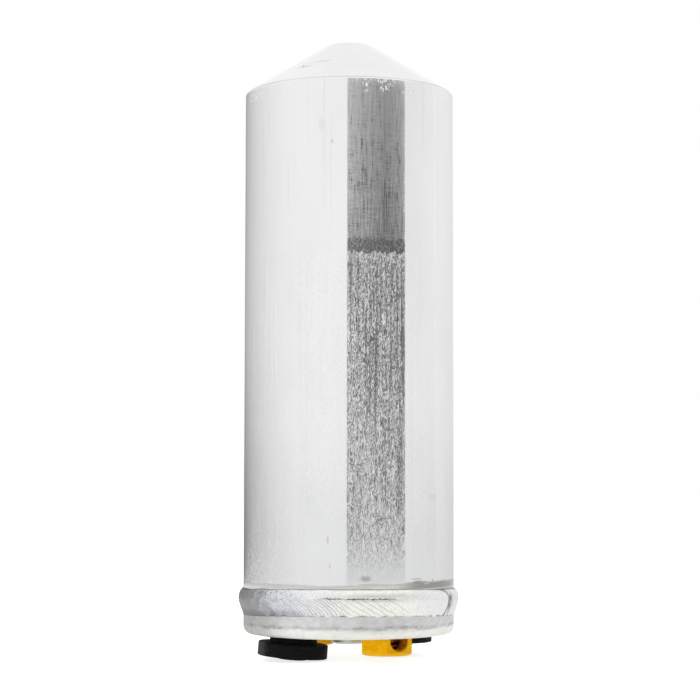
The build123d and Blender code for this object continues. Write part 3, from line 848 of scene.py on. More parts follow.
@dataclass(frozen=True)
class WeldFinish(Finish):
    """Arc weld: pale metal, blue and straw heat tint, ripples, a crease, soot from the bead, and painted
    shade at the left end and along the lower edge.
    """

    name: str = "weld_aluminium"
    pale: Triple = (0.90, 0.90, 0.895)
    blue: Triple = (0.70, 0.745, 0.80)
    mauve: Triple = (0.50, 0.48, 0.54)
    straw: Triple = (0.99, 0.985, 0.92)
    # Grey of the mottling, and of the painted shade at the left end.
    grey: Triple = (0.36, 0.36, 0.36)
    line: Triple = (0.34, 0.34, 0.36)
    soot: Triple = (0.15, 0.145, 0.14)
    radius: float = 30.02
    seam_height: float = 12.8
    front_rise: float = 1.2
    slant: float = 1.45
    bow: float = 0.117
    ripple_count: int = 178
    long_count: int = 78
    steep_share: float = 0.28

    def paint(self, board: Board) -> Inputs:
        """Tints the metal from left to right, greys the left end as painted shade, then lays grain, pits,
        soot and lines on it.

        Args:
            board: The material's board.

        Returns:
            What each of the shader's inputs gets.
        """
        cloud = board.noise(330.0, 4.0, 0.6)
        side = board.x + board.spread(cloud, 0.3, 0.7, -4.0 * MM, 4.0 * MM, smooth=False)
        blue = board.spread(side, -9.0 * MM, -20.0 * MM) * board.spread(cloud, 0.35, 0.65, 0.45, 1.0)
        colour = board.blend(blue, self.pale, self.blue)
        low = board.spread(board.z, 11.6 * MM, 10.0 * MM) * board.spread(side, -9.0 * MM, -17.0 * MM)
        colour = board.blend(low * 0.85, colour, self.mauve)
        # Painted shade: the left end goes grey.
        colour = board.blend(board.spread(side, -19.5 * MM, -26.5 * MM, 0.0, 0.95), colour, self.grey)
        # Painted shadow at the lower left of the bead.
        foot = board.spread(board.z, 10.6 * MM, 9.4 * MM) * board.spread(side, -15.0 * MM, -23.0 * MM)
        colour = board.blend(foot * 0.5, colour, self.soot)
        straw = board.spread(side, -6.0 * MM, 0.0) * board.spread(side, 22.0 * MM, 15.0 * MM)
        colour = board.blend(straw, colour, self.straw)
        mottled = board.noise(1500.0, 5.0, 0.75)
        left = board.spread(board.x, -8.0 * MM, -24.0 * MM)
        # Real mottled grain, made heavier towards the left as painted shade.
        grainy = board.spread(mottled, 0.47, 0.66) * board.blend_value(left, 0.22, 0.7)
        colour = board.blend(grainy, colour, self.grey)
        roll = board.spread(board.z, 12.9 * MM, 14.6 * MM, 0.2, 1.0)
        pitted = board.effect(Effect.SPECKS, 1250.0, 0.44, 0.5) * (board.blend_value(left, 0.1, 0.9) * roll)
        colour = board.blend(pitted, colour, self.soot)
        # Soot, plus painted shade at the left end and a painted shadow line along the lower edge.
        soot = board.signal("ShaderNodeAttribute", give="Fac", attribute_name="weld_soot_and_shade")
        sooty = soot * board.spread(board.noise(650.0, 5.0, 0.75), 0.32, 0.6, 0.55, 1.25)
        colour = board.blend(board.math("MINIMUM", sooty, 0.95), colour, self.soot)
        height = self.over_seam(board)
        ripples, lines = self.ripples(board, height)
        crease = self.crease(board, height)
        colour = board.blend(lines, colour, self.line)
        skin = board.noise(1900.0, 3.0) - pitted + ripples * 1.5 - crease
        return {
            "Base Color": board.blend(crease, colour, self.soot),
            "Metallic": 1.0,
            "Roughness": board.spread(mottled, 0.3, 0.7, 0.40, 0.58),
            "Normal": board.bump(skin, 0.10 * MM, 0.8),
        }

    @staticmethod
    def turned(board: Board) -> Signal:
        """Gives the angle round the axis, from the front."""
        return board.math("ARCTAN2", board.x, board.y * -1.0)

    def over_seam(self, board: Board) -> Signal:
        """Gives the height over the seam, which rises in front, in millimetres."""
        front = board.math("MAXIMUM", board.math("COSINE", self.turned(board)), 0.0) ** 1.3
        return board.z * 1000.0 - self.seam_height - front * self.front_rise

    def steps(self, board: Board, phase: Signal, count: int, shift: float = 0.0) -> Tuple[Signal, Signal]:
        """Cuts a length along the seam into ripples.

        Args:
            board: The material's board.
            phase: The length along the seam in millimetres.
            count: How many ripples go round.
            shift: Added to a ripple's number.

        Returns:
            How far through its ripple a place is, and the ripple's random number.
        """
        phase = phase / (FULL_TURN * self.radius / count)
        number = board.math("FLOOR", phase)
        chance = board.signal("ShaderNodeTexWhiteNoise", {"W": number + shift if shift else number},
                              give="Value", noise_dimensions="1D")
        return board.math("FRACT", phase), chance

    def ripples(self, board: Board, height: Signal) -> Tuple[Signal, Signal]:
        """Slanted solidification ripples below the roll, with long faint ones among them.

        Args:
            board: The material's board.
            height: The height over the seam.

        Returns:
            The ripples' height and their dark lines.
        """
        along = self.turned(board) * self.radius
        wander = board.spread(board.noise(160.0), 0.3, 0.7, -0.55, 0.55, smooth=False)
        bowed = board.math("MULTIPLY_ADD", height, self.bow, self.slant)
        phase = along + board.math("MULTIPLY_ADD", height, bowed, wander)
        share, chance = self.steps(board, phase, self.ripple_count)
        rise = board.math("MINIMUM", share / (1.0 - self.steep_share), (1.0 - share) / self.steep_share)
        below_roll = board.spread(height, 0.5, 0.0) * board.spread(height, -4.6, -4.0)
        left = board.spread(board.x, 3.0 * MM, -6.0 * MM, 0.22, 1.0)
        end = board.spread(board.x, -23.0 * MM, -28.0 * MM, 1.0, 0.45)
        power = below_roll * (left * end) * board.spread(chance, 0.0, 1.0, 0.45, 1.0)
        lines = board.spread(rise, 0.42, 0.0) * (power * 0.95)
        phase = along + board.math("MULTIPLY_ADD", height, self.slant + 0.25, wander)
        share, chance = self.steps(board, phase, self.long_count, shift=0.37)
        middle = board.spread(board.x, -7.0 * MM, -1.0 * MM) * board.spread(board.x, 19.0 * MM, 13.0 * MM)
        long_power = board.spread(chance, 0.25, 0.8) * middle * below_roll
        long_lines = board.spread(abs(share - 0.5), 0.085, 0.02) * long_power * 0.75
        return rise * power, board.math("MAXIMUM", lines, long_lines)

    @staticmethod
    def crease(board: Board, height: Signal) -> Signal:
        """Masks the ragged crease above the ripples.

        Args:
            board: The material's board.
            height: The height over the seam.

        Returns:
            The mask.
        """
        ragged = board.noise(900.0, 4.0, 0.7)
        fine = board.noise((420.0, 420.0, 420.0), 4.0, 0.7)
        off = abs(height - board.spread(ragged, 0.3, 0.7, 0.0, 0.42, smooth=False))
        width = board.spread(fine, 0.40, 0.62, 0.05, 0.36)
        front = board.spread(board.x, -9.5 * MM, -4.0 * MM) * board.spread(board.x, 13.5 * MM, 11.0 * MM)
        return board.spread(width - off, -0.06, 0.12) * (front * 0.92)


@dataclass(frozen=True)
class HeadFinish(Finish):
    """Turned aluminium head: sooty above a ragged line, creamy below it."""

    name: str = "head_aluminium"
    cream: Triple = (0.93, 0.93, 0.88)
    dull_cream: Triple = (0.84, 0.835, 0.79)
    grey: Triple = (0.80, 0.80, 0.795)
    dull_grey: Triple = (0.70, 0.70, 0.69)
    # Tone of the painted shade on the head's left side.
    left_side_shade: Triple = (0.44, 0.43, 0.41)
    soot: Triple = (0.30, 0.29, 0.27)
    line_height: float = 5.7

    def paint(self, board: Board) -> Inputs:
        """Lays grey over cream along the ragged line, soot at the line, and painted shade at the left.

        Args:
            board: The material's board.

        Returns:
            What each of the shader's inputs gets.
        """
        above = board.effect(Effect.STAIN_LINE, self.line_height * MM, 1.6 * MM, 210.0, 0.35 * MM)
        wide = board.effect(Effect.STAIN_LINE, (self.line_height + 0.35) * MM, 2.0 * MM, 210.0, 0.9 * MM)
        cloud = board.noise((380.0, 380.0, 620.0), 5.0, 0.65)
        grey = board.blend(board.spread(cloud, 0.38, 0.66), self.dull_grey, self.grey)
        cream = board.blend(board.spread(cloud, 0.4, 0.75), self.cream, self.dull_cream)
        colour = board.blend(above, cream, grey)
        blotch = board.noise((230.0, 230.0, 500.0), 5.0, 0.7)
        rim = wide * (1.0 - wide) * board.spread(blotch, 0.44, 0.66, 0.5, 2.8)
        left = board.spread(board.x, -8.0 * MM, -22.0 * MM, 1.0, 1.4)
        colour = board.blend(board.math("MINIMUM", rim * left, 0.8), colour, self.soot)
        colour = board.blend(board.effect(Effect.SPECKS, 1000.0, 0.3, 0.05) * 0.35, colour, self.soot)
        # Painted shade: the head's left side darkens.
        left_side_shade = board.spread(board.x, -15.0 * MM, -27.0 * MM) * board.spread(blotch, 0.3, 0.7, 0.6, 1.0)
        lines = board.effect(Effect.GRAIN, 40.0, 40.0, 5200.0, 0.4, 0.62)
        face = board.spread(board.z, 3.4 * MM, 2.9 * MM)
        return {
            "Base Color": board.blend(left_side_shade * 0.9, colour, self.left_side_shade),
            "Metallic": 1.0,
            "Roughness": board.blend_value(face, board.blend_value(above, 0.52, 0.6), 0.55),
            "Normal": board.bump(lines * 0.5 + cloud, 0.04 * MM, 0.7),
        }


@dataclass(frozen=True)
class YellowFinish(Finish):
    """Golden yellow passivated fitting with fine turning lines, lighter towards the bottom, and painted shade
    in the vent's thread grooves.
    """

    name: str = "yellow_passivated"
    yellow: Triple = (0.93, 0.44, 0.004)
    light: Triple = (1.0, 0.62, 0.012)
    deep: Triple = (0.55, 0.22, 0.004)
    inner: Triple = (1.0, 0.46, 0.02)
    thread_pitch: float = 0.85
    vent_place: Triple = (10.589, -13.554, 2.1)
    vent_turn: float = -60.0
    vent_radius: float = 3.06
    vent_reach: float = 6.78

    def vent_mask(self, board: Board) -> Tuple[Signal, Signal]:
        """Marks the wall of the vent and of the chamber behind it.

        Args:
            board: The material's board.

        Returns:
            The wall's mask, and the mask of its thread's grooves.
        """
        east = board.x - self.vent_place[0] * MM
        north = board.y - self.vent_place[1] * MM
        up = board.z - self.vent_place[2] * MM
        turn = math.radians(self.vent_turn)
        along = east * math.cos(turn) + north * math.sin(turn)
        across = north * math.cos(turn) - east * math.sin(turn)
        radial = board.math("SQRT", across * across + up * up)
        inside = board.math("LESS_THAN", radial, self.vent_radius * MM)
        inside = inside * board.math("GREATER_THAN", along, 0.0)
        inside = inside * board.math("LESS_THAN", along, self.vent_reach * MM)
        step = board.math("FRACT", along / (self.thread_pitch * MM))
        return inside, inside * board.spread(abs(step - 0.5), 0.30, 0.08)

    def paint(self, board: Board) -> Inputs:
        """Lays turning lines, a lighter band at the bottom, specks, the vent's wall and painted shade in its
        thread's grooves over the yellow.

        Args:
            board: The material's board.

        Returns:
            What each of the shader's inputs gets.
        """
        cloud = board.noise(500.0, 4.0, 0.6)
        colour = board.blend(board.spread(cloud, 0.40, 0.72), self.yellow, self.light)
        lines = board.effect(Effect.GRAIN, 120.0, 120.0, 4200.0, 0.42, 0.6)
        colour = board.blend(lines * 0.3, colour, self.deep)
        # Lighter towards the bottom.
        colour = board.blend(board.spread(board.z, -1.0 * MM, -1.7 * MM, 0.0, 0.6), colour, self.light)
        colour = board.blend(board.effect(Effect.SPECKS, 1500.0, 0.3, 0.06) * 0.6, colour, self.deep)
        inside, groove_shade = self.vent_mask(board)
        colour = board.blend(inside, colour, self.inner)
        return {
            # Painted shade in the vent's thread grooves.
            "Base Color": board.blend(groove_shade * 0.7, colour, self.deep),
            "Metallic": board.blend_value(inside, 1.0, 0.35),
            "Roughness": board.spread(cloud, 0.3, 0.7, 0.30, 0.44),
            "Normal": board.bump(lines, 0.02 * MM, 0.6),
        }


@dataclass(frozen=True)
class PlugFinish(Finish):
    """Black moulded plastic, with a painted grey sheen on the left rim and a fine dusty grain."""

    name: str = "plug_plastic"
    black: Triple = (0.004, 0.004, 0.004)
    # Grey of the painted sheen on the left rim, and of the fine dusty grain.
    dust_and_sheen: Triple = (0.10, 0.09, 0.082)

    def paint(self, board: Board) -> Inputs:
        """Paints a grey sheen on the left rim, and scatters a fine grain.

        Args:
            board: The material's board.

        Returns:
            What each of the shader's inputs gets.
        """
        cloud = board.noise(900.0, 5.0, 0.7)
        grain = board.effect(Effect.SPECKS, 2600.0, 0.5, 0.35)
        # Painted sheen: the left rim goes grey.
        side = board.x + board.spread(cloud, 0.2, 0.8, -1.5 * MM, 1.5 * MM)
        dust_and_sheen = board.spread(side, -22.3 * MM, -24.0 * MM) * board.spread(cloud, 0.35, 0.7, 0.35, 1.0)
        colour = board.blend(dust_and_sheen, self.black, self.dust_and_sheen)
        return {
            "Base Color": board.blend(grain * 0.12, colour, self.dust_and_sheen),
            "Roughness": board.spread(cloud, 0.3, 0.7, 0.55, 0.75),
            "Specular IOR Level": 0.12,
            "Normal": board.bump(grain, 0.03 * MM, 0.5),
        }


@dataclass(frozen=True)
class PlainMetal(Finish):
    """Plain worked metal for the pieces inside: two tones, a grain and a roughness."""

    name: str
    tone: Triple
    shade: Triple
    roughness: float
    across: Triple = (1200.0, 1200.0, 80.0)

    def paint(self, board: Board) -> Inputs:
        """Draws the grain in the darker tone.

        Args:
            board: The material's board.

        Returns:
            What each of the shader's inputs gets.
        """
        grain = board.effect(Effect.GRAIN, *self.across, 0.38, 0.64)
        colour = board.blend(grain * 0.5, self.tone, self.shade)
        cloud = board.spread(board.noise(240.0, 4.0), 0.5, 0.8, 0.0, 0.5)
        return {
            "Base Color": board.blend(cloud, colour, self.shade),
            "Metallic": 1.0,
            "Roughness": board.spread(grain, 0.0, 1.0, self.roughness, self.roughness + 0.15),
            "Normal": board.bump(grain, 0.02 * MM, 0.5),
        }


@dataclass(frozen=True)
class Rubber(Finish):
    """Black seal rubber with a faint bloom."""

    name: str = "seal_rubber"
    black: Triple = (0.018, 0.018, 0.018)
    bloom: Triple = (0.05, 0.05, 0.052)

    def paint(self, board: Board) -> Inputs:
        """Clouds the rubber.

        Args:
            board: The material's board.

        Returns:
            What each of the shader's inputs gets.
        """
        cloud = board.noise(1400.0, 4.0, 0.65)
        return {
            "Base Color": board.blend(board.spread(cloud, 0.45, 0.75), self.black, self.bloom),
            "Roughness": board.spread(cloud, 0.3, 0.7, 0.45, 0.65),
            "Normal": board.bump(cloud, 0.02 * MM, 0.4),
        }


@dataclass(frozen=True)
class Felt(Finish):
    """Needled felt of the filter pads."""

    name: str = "filter_felt"
    deep: Triple = (0.70, 0.67, 0.59)
    hair: Triple = (0.86, 0.84, 0.78)
    hole_shade: Triple = (0.45, 0.42, 0.36)

    def paint(self, board: Board) -> Inputs:
        """Lays hairs, and pricks needle holes between them, with painted shade in the holes.

        Args:
            board: The material's board.

        Returns:
            What each of the shader's inputs gets.
        """
        hairs = board.effect(Effect.GRAIN, 700.0, 2100.0, 1500.0, 0.35, 0.65)
        holes = board.effect(Effect.SPECKS, 520.0, 0.3, 0.8)
        return {
            # Painted shade in the needle holes.
            "Base Color": board.blend(holes * 0.5, board.blend(hairs, self.deep, self.hair), self.hole_shade),
            "Roughness": board.spread(hairs, 0.0, 1.0, 0.85, 0.98),
            "Normal": board.bump(hairs - holes, 0.3 * MM, 0.8),
        }


@dataclass(frozen=True)
class Beads(Finish):
    """Molecular sieve beads, packed."""

    name: str = "desiccant_beads"
    dark: Triple = (0.60, 0.53, 0.43)
    pale: Triple = (0.80, 0.75, 0.66)
    # Tone of the painted shade between beads.
    gap: Triple = (0.16, 0.13, 0.10)
    bead_diameter: float = 2.0

    def paint(self, board: Board) -> Inputs:
        """Domes each bead, and paints shade in the gaps between them.

        Args:
            board: The material's board.

        Returns:
            What each of the shader's inputs gets.
        """
        distance, tone = board.cells(1000.0 / self.bead_diameter)
        colour = board.blend(tone, self.dark, self.pale)
        return {
            # Painted shade in the gaps between beads.
            "Base Color": board.blend(board.spread(distance, 0.45, 0.75) * 0.8, colour, self.gap),
            "Roughness": board.spread(tone, 0.0, 1.0, 0.75, 0.92),
            "Normal": board.bump(1.0 - distance ** 2.0, 0.9 * MM, 1.0),
        }


# ---------------------------------------------------------------- the object's sub-assemblies


@dataclass
class Canister:
    """Can with a coned closed end, turned from a drawn cup. Sizes in millimetres."""

    radius: float = 30.0
    wall: float = 2.5
    shoulder_height: float = 157.4
    tip_height: float = 172.1
    tip_radius: float = 6.35
    cone_wall: float = 3.0
    cavity_tip_radius: float = 4.0
    shoulder_rounding: float = 0.55
    tip_rounding: float = 0.5
    seam_height: float = 12.8
    land_top: float = 15.8
    land_depth: float = 0.5
    groove_depth: float = 1.7
    turn_steps: int = 256
    finish: CanFinish = field(default_factory=CanFinish)

    def cavity_height(self, radius: float) -> float:
        """Height of the cone's inner face at a radius."""
        run = self.radius - self.tip_radius
        rise = self.tip_height - self.shoulder_height
        drop = self.cone_wall * math.hypot(run, rise) / run
        return self.shoulder_height + (self.radius - radius) * rise / run - drop

    def build(self) -> bpy.types.Object:
        """Turns the can's section and dresses it.

        Returns:
            The finished can.
        """
        inner = self.radius - self.wall
        land = self.radius - self.land_depth
        corners = [
            Corner(0, self.tip_height),
            Corner(self.tip_radius, self.tip_height, self.tip_rounding, cuts=3),
            Corner(self.radius, self.shoulder_height, self.shoulder_rounding, cuts=9),
            Corner(self.radius, self.land_top, 0.08, cuts=48),
            Corner(land, self.land_top),
            Corner(land, self.seam_height + self.groove_depth - self.land_depth),
            Corner(self.radius - self.groove_depth, self.seam_height),
            Corner(inner, self.seam_height),
            Corner(inner, self.cavity_height(inner), cuts=6),
            Corner(self.cavity_tip_radius, self.cavity_height(self.cavity_tip_radius), cuts=2),
            Corner(0, self.cavity_height(self.cavity_tip_radius)),
        ]
        can = Bench.turned("can_body", corners, self.turn_steps)
        Finish.dress(can, self.finish.make(), "canister_aluminium")
        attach(can, "vessel")
        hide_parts("canister_shell")
        return can


@dataclass
class WeldBead:
    """Weld that joins can and head: a root, and a crown with a crease and a crater. Millimetres."""

    seat_radius: float = 30.02
    seam_height: float = 12.8
    proud: float = 1.53
    upper_reach: float = 2.8
    lower_reach: float = 4.7
    front_rise: float = 1.2
    land_radius: float = 29.52
    root_radius: float = 28.32
    groove_depth: float = 1.7
    land_depth: float = 0.5
    turn_steps: int = 1400
    crown_points: int = 34
    crease_middle: float = 7
    crease_half_turn: float = 23
    crease_depth: float = 0.24
    crater_angle: float = 64.5
    crater_depth: float = 0.36
    dish_depth: float = 0.16
    # Beyond this angle to the left, the bead gets painted shade.
    shaded_end_angle: float = 66
    finish: WeldFinish = field(default_factory=WeldFinish)

    def crown(self, share: float) -> Corner:
        """A point of the plain crown.

        Args:
            share: 0 at the crown's top edge, 1 at its bottom edge.

        Returns:
            The corner at that share.
        """
        sweep = math.cos(math.pi * share)
        reach = self.upper_reach if sweep > 0 else self.lower_reach
        height = sweep * reach
        return Corner(self.seat_radius + self.standing(height), self.seam_height + height)

    def standing(self, height: float) -> float:
        """How far the plain crown stands off the can at a height over the seam."""
        if height > 0:
            return self.proud * math.sqrt(max(0.0, 1 - (height / self.upper_reach) ** 2))
        lower = max(0.0, 1 - (-height / self.lower_reach) ** 1.6)
        return self.proud * lower ** 1.35

    def build(self) -> bpy.types.Object:
        """Turns the bead, then works its crease and crater into it.

        Returns:
            The finished bead.
        """
        top = self.seam_height + self.upper_reach
        crown = [self.crown(step / self.crown_points) for step in range(self.crown_points + 1)]
        root = [
            Corner(self.seat_radius, self.seam_height - self.groove_depth),
            Corner(self.root_radius, self.seam_height),
            Corner(self.land_radius, self.seam_height + self.groove_depth - self.land_depth),
            Corner(self.land_radius, top),
            Corner(self.seat_radius, top - 0.1),
        ]
        bead = Bench.turned("weld_crown", crown + root, self.turn_steps, closed=True, smooth_angle=70.0)
        self.work(bead)
        Finish.dress(bead, self.finish.make(), "weld_aluminium")
        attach(bead, "vessel")
        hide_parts("weld_bead")
        return bead

    @staticmethod
    def wander(angle: np.ndarray, seed: int, lowest: int, highest: int) -> np.ndarray:
        """A smooth random line round the seam, about -1 to 1.

        Args:
            angle: Angles round the axis in radians.
            seed: Fixes the random numbers.
            lowest: The fewest waves round the seam.
            highest: The most waves round the seam.

        Returns:
            One value for each angle.
        """
        chance = np.random.default_rng(seed)
        line = np.zeros_like(angle)
        weight = 0.0
        for waves in range(lowest, highest + 1):
            size = chance.uniform(0.3, 1.0)
            line += size * np.cos(waves * angle + chance.uniform(0, FULL_TURN))
            weight += size * size
        return line / math.sqrt(2 * weight) * 1.4

    @staticmethod
    def hump(distance: np.ndarray, width: float) -> np.ndarray:
        """A bell curve: 1 at no distance, and less than half at the width."""
        return np.exp(-(distance / width) ** 2)

    def work(self, bead: bpy.types.Object) -> None:
        """Moves the crown's vertices, and notes where soot and painted shade lie.

        Args:
            bead: The plain turned bead.
        """
        near = 1e-3
        flat = np.empty(len(bead.data.vertices) * 3, np.float32)
        bead.data.vertices.foreach_get("co", flat)
        place = flat.reshape(-1, 3).astype(float) / MM
        angle = np.arctan2(place[:, 0], -place[:, 1])
        radius = np.hypot(place[:, 0], place[:, 1])
        height = place[:, 2] - self.seam_height
        top_edge = np.abs(height - self.upper_reach) < near
        crown = (radius > self.seat_radius + near) | (top_edge & (radius > self.seat_radius - near))
        crown |= height < -self.groove_depth - near
        standing = np.clip(radius - self.seat_radius, 0.0, None)
        body = np.clip(standing / self.proud, 0.0, 1.0)
        wander = self.wander(angle, 3, 5, 18)
        jitter = self.wander(angle, 8, 20, 70)
        cut, soot = self.carve(angle, height, body, jitter)
        cut += 0.10 * (1 + wander) * body

        standing = np.clip(standing - cut, 0.0, self.proud)
        front = np.clip(np.cos(angle), 0, 1) ** 1.3
        lift = self.front_rise * front + 0.10 * wander * (height > 0) + 0.06 * jitter * (height < -2)
        new_radius = np.where(crown, self.seat_radius + standing, radius)
        new_height = np.where(crown, place[:, 2] + lift, place[:, 2])
        lower_edge = crown & (height < -self.lower_reach + near)
        new_radius = np.where(lower_edge, self.seat_radius - 0.01, new_radius)
        moved = np.column_stack((new_radius * np.sin(angle), -new_radius * np.cos(angle), new_height)) * MM
        bead.data.vertices.foreach_set("co", moved.astype(np.float32).ravel())
        bead.data.update()
        layer = bead.data.attributes.new("weld_soot_and_shade", "FLOAT", "POINT")
        layer.data.foreach_set("value", np.clip(soot * crown, 0, 1).astype(np.float32))

    def carve(self, angle: np.ndarray, height: np.ndarray, body: np.ndarray,
              jitter: np.ndarray) -> Tuple[np.ndarray, np.ndarray]:
        """Works out the crease, the crater where the weld ends, the soot in and round them, and painted shade
        at the left end and along the lower edge.

        Args:
            angle: The vertices' angles round the axis in radians.
            height: Their heights over the seam.
            body: How far they stand off, from 0 to 1.
            jitter: A fine random line round the seam.

        Returns:
            How deep each vertex is cut, and how sooty or shaded it is.
        """
        degrees = np.degrees(angle)
        ragged = self.wander(angle, 21, 90, 230)
        reach = np.clip(1 - np.abs(degrees - self.crease_middle) / self.crease_half_turn, 0, 1) ** 0.3
        cut = self.crease_depth * self.hump(height - 0.16, 0.3) * reach

        bend = self.crater_angle - 7.5 * np.clip((height - 0.6) / 2.2, 0, 1) ** 2
        bend = bend - 4.0 * np.clip((-height - 1.4) / 3.3, 0, 1) ** 2
        gap = (degrees - bend - 0.9 * jitter) * math.radians(1) * self.seat_radius
        cut += self.crater_depth * self.hump(gap, 0.5) * np.clip(body * 1.6, 0, 1)
        cut += self.dish_depth * (np.clip(1 - np.abs(gap + 4.0) / 5.0, 0, 1) * self.hump(height - 0.4, 1.9))

        soot = 0.10 * self.hump(height - 0.7, 0.5) * reach
        soot += 0.9 * self.hump(gap, 0.45) * (0.85 + 0.3 * ragged)
        soot += 0.42 * self.hump(gap - 1.1, 1.5) * (0.8 + 0.4 * jitter)
        # A dark line at the top edge, a painted shadow line at the lower edge, and painted shade at the left
        # end.
        upper_lip = self.hump(height - self.upper_reach, 0.16)
        lower_toe_shadow = self.hump(height + self.lower_reach, 0.30)
        left_end_shade = 1 / (1 + np.exp((degrees + self.shaded_end_angle) / 5))
        soot += 0.65 * upper_lip + 0.75 * lower_toe_shadow * (0.6 + 0.5 * jitter) + 0.3 * left_end_shade
        return cut, soot


@dataclass
class PortHead:
    """Turned head that carries the ports."""

    finish: HeadFinish = field(default_factory=HeadFinish)

    def build(self) -> bpy.types.Object:
        """Dresses the head."""
        head = FRAME["nodes"]["port_head"]
        Finish.dress(head, self.finish.make())
        return head


@dataclass
class ReliefBody:
    """Relief valve's body: a hexagon with a threaded vent, a chamber and a shank. Millimetres."""

    centre: Tuple[float, float] = (10.589, -13.554)
    flats: float = 13.8
    bottom: float = -2.15
    top: float = 6.0
    chamfer_circle: float = 12.97
    chamfer_angle: float = 30.0
    edge_rounding: float = 0.22
    shank_radius: float = 5.0
    shank_top: float = 16.0
    chamber_radius: float = 3.6
    chamber_floor: float = -0.9
    vent_height: float = 2.1
    vent_turn: float = -60.0
    vent_radius: float = 2.74
    thread_depth: float = 0.22
    thread_pitch: float = 0.8
    mouth_radius: float = 3.05
    finish: YellowFinish = field(default_factory=YellowFinish)

    def build(self) -> bpy.types.Object:
        """Makes the body, and dresses it and the switch port's plug alike.

        Returns:
            The finished relief body.
        """
        body = self.hexagon()
        chamber = Bench.turned("chamber", [
            Corner(0, self.chamber_floor),
            Corner(self.chamber_radius, self.chamber_floor),
            Corner(self.chamber_radius, self.shank_top + 2),
            Corner(0, self.shank_top + 2),
        ], 64)
        Bench.move(chamber, Vector((*self.centre, 0)) * MM)
        Bench.cut(body, chamber)
        Bench.cut(body, self.vent())
        Bench.triangulate(body)
        Bench.smooth(body, 28.0)
        material = self.finish.make()
        Finish.dress(body, material, "yellow_fitting")
        Finish.dress(FRAME["nodes"]["switch_port_plug"], material)
        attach(body, "vessel")
        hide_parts("relief_valve_body")
        return body

    def hexagon(self) -> bpy.types.Object:
        """Turns the shank and the chamfer on a piece of hexagon bar with eased corners.

        Returns:
            The solid body, without its bores.
        """
        corner = self.flats / math.sqrt(3)
        Bench.clear()
        length = self.shank_top - self.bottom + 2
        bpy.ops.mesh.primitive_cylinder_add(vertices=6, radius=corner * MM, depth=length * MM)
        body = bpy.context.active_object
        body.name = "relief_body"
        body.data.name = body.name
        with Bench.editing(body):
            bpy.ops.mesh.select_all(action="DESELECT")
            mesh = bmesh.from_edit_mesh(body.data)
            for edge in mesh.edges:
                edge.select = abs(edge.verts[0].co.z - edge.verts[1].co.z) > MM
            bmesh.update_edit_mesh(body.data)
            bpy.ops.mesh.bevel(offset=self.edge_rounding * MM, segments=3, affect="EDGES")
        Bench.move(body, Vector((*self.centre, (self.shank_top + self.bottom) / 2)) * MM)
        rise = math.tan(math.radians(self.chamfer_angle))
        inner = self.chamfer_circle / 2
        outer = corner + 0.5
        turned = Bench.turned("turned_blank", [
            Corner(0, self.bottom),
            Corner(inner, self.bottom, 0.12),
            Corner(outer, self.bottom + (outer - inner) * rise),
            Corner(outer, self.top),
            Corner(self.shank_radius, self.top),
            Corner(self.shank_radius, self.shank_top),
            Corner(0, self.shank_top),
        ], 96)
        Bench.move(turned, Vector((*self.centre, 0)) * MM)
        Bench.cut(body, turned, "INTERSECT")
        return body

    def vent(self) -> bpy.types.Object:
        """Turns the threaded hole's shape and lays it on its side, from the axis out through one flat.

        Returns:
            The hole's shape.
        """
        flat = self.flats / 2
        corners = [Corner(0, 0), Corner(self.vent_radius, 0)]
        height = self.chamber_radius + 0.1
        while height + self.thread_pitch < flat - 0.3:
            corners += [Corner(self.vent_radius, height),
                        Corner(self.vent_radius + self.thread_depth, height + self.thread_pitch / 2)]
            height += self.thread_pitch
        corners += [
            Corner(self.vent_radius, height),
            Corner(self.vent_radius, flat - (self.mouth_radius - self.vent_radius)),
            Corner(self.mouth_radius, flat),
            Corner(self.mouth_radius, flat + 1),
            Corner(0, flat + 1),
        ]
        vent = Bench.turned("vent", corners, 72)
        Bench.turn(vent, 90, "Y")
        Bench.turn(vent, self.vent_turn, "Z")
        Bench.move(vent, Vector((*self.centre, self.vent_height)) * MM)
        return vent


@dataclass
class DustPlug:
    """Moulded plug with a hollow spigot, a flange and a grip pip. Millimetres."""

    name: str
    replaced: str
    body: str
    mouth: Triple
    spigot_radius: float
    neck: float
    flange_thickness: float
    flange_radius: float = 9.8
    tilt: float = 0.0
    engagement: float = 4.0
    lead_length: float = 2.0
    lead_inset: float = 0.9
    wall: float = 2.0
    core_depth: float = 1.6
    pip_radius: float = 4.2
    pip_height: float = 1.2
    edge_rounding: float = 0.35

    def build(self, material: bpy.types.Material) -> bpy.types.Object:
        """Turns the plug, sets it in its port and dresses it.

        Args:
            material: The plugs' plastic.

        Returns:
            The finished plug.
        """
        top = -self.neck
        bottom = top - self.flange_thickness
        lead_top = self.engagement + self.lead_length
        core = self.spigot_radius - self.wall
        plug = Bench.turned(self.name, [
            Corner(0, bottom - self.pip_height),
            Corner(self.pip_radius, bottom - self.pip_height, 0.4),
            Corner(self.pip_radius, bottom),
            Corner(self.flange_radius, bottom, self.edge_rounding),
            Corner(self.flange_radius, top, self.edge_rounding),
            Corner(self.spigot_radius, top),
            Corner(self.spigot_radius, self.engagement),
            Corner(self.spigot_radius - self.lead_inset, lead_top),
            Corner(core, lead_top),
            Corner(core, top - self.core_depth),
            Corner(0, top - self.core_depth),
        ], 160)
        Bench.turn(plug, self.tilt, "Y")
        Bench.move(plug, Vector(self.mouth) * MM)
        Finish.dress(plug, material, "plug_plastic")
        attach(plug, self.body)
        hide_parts(self.replaced)
        return plug


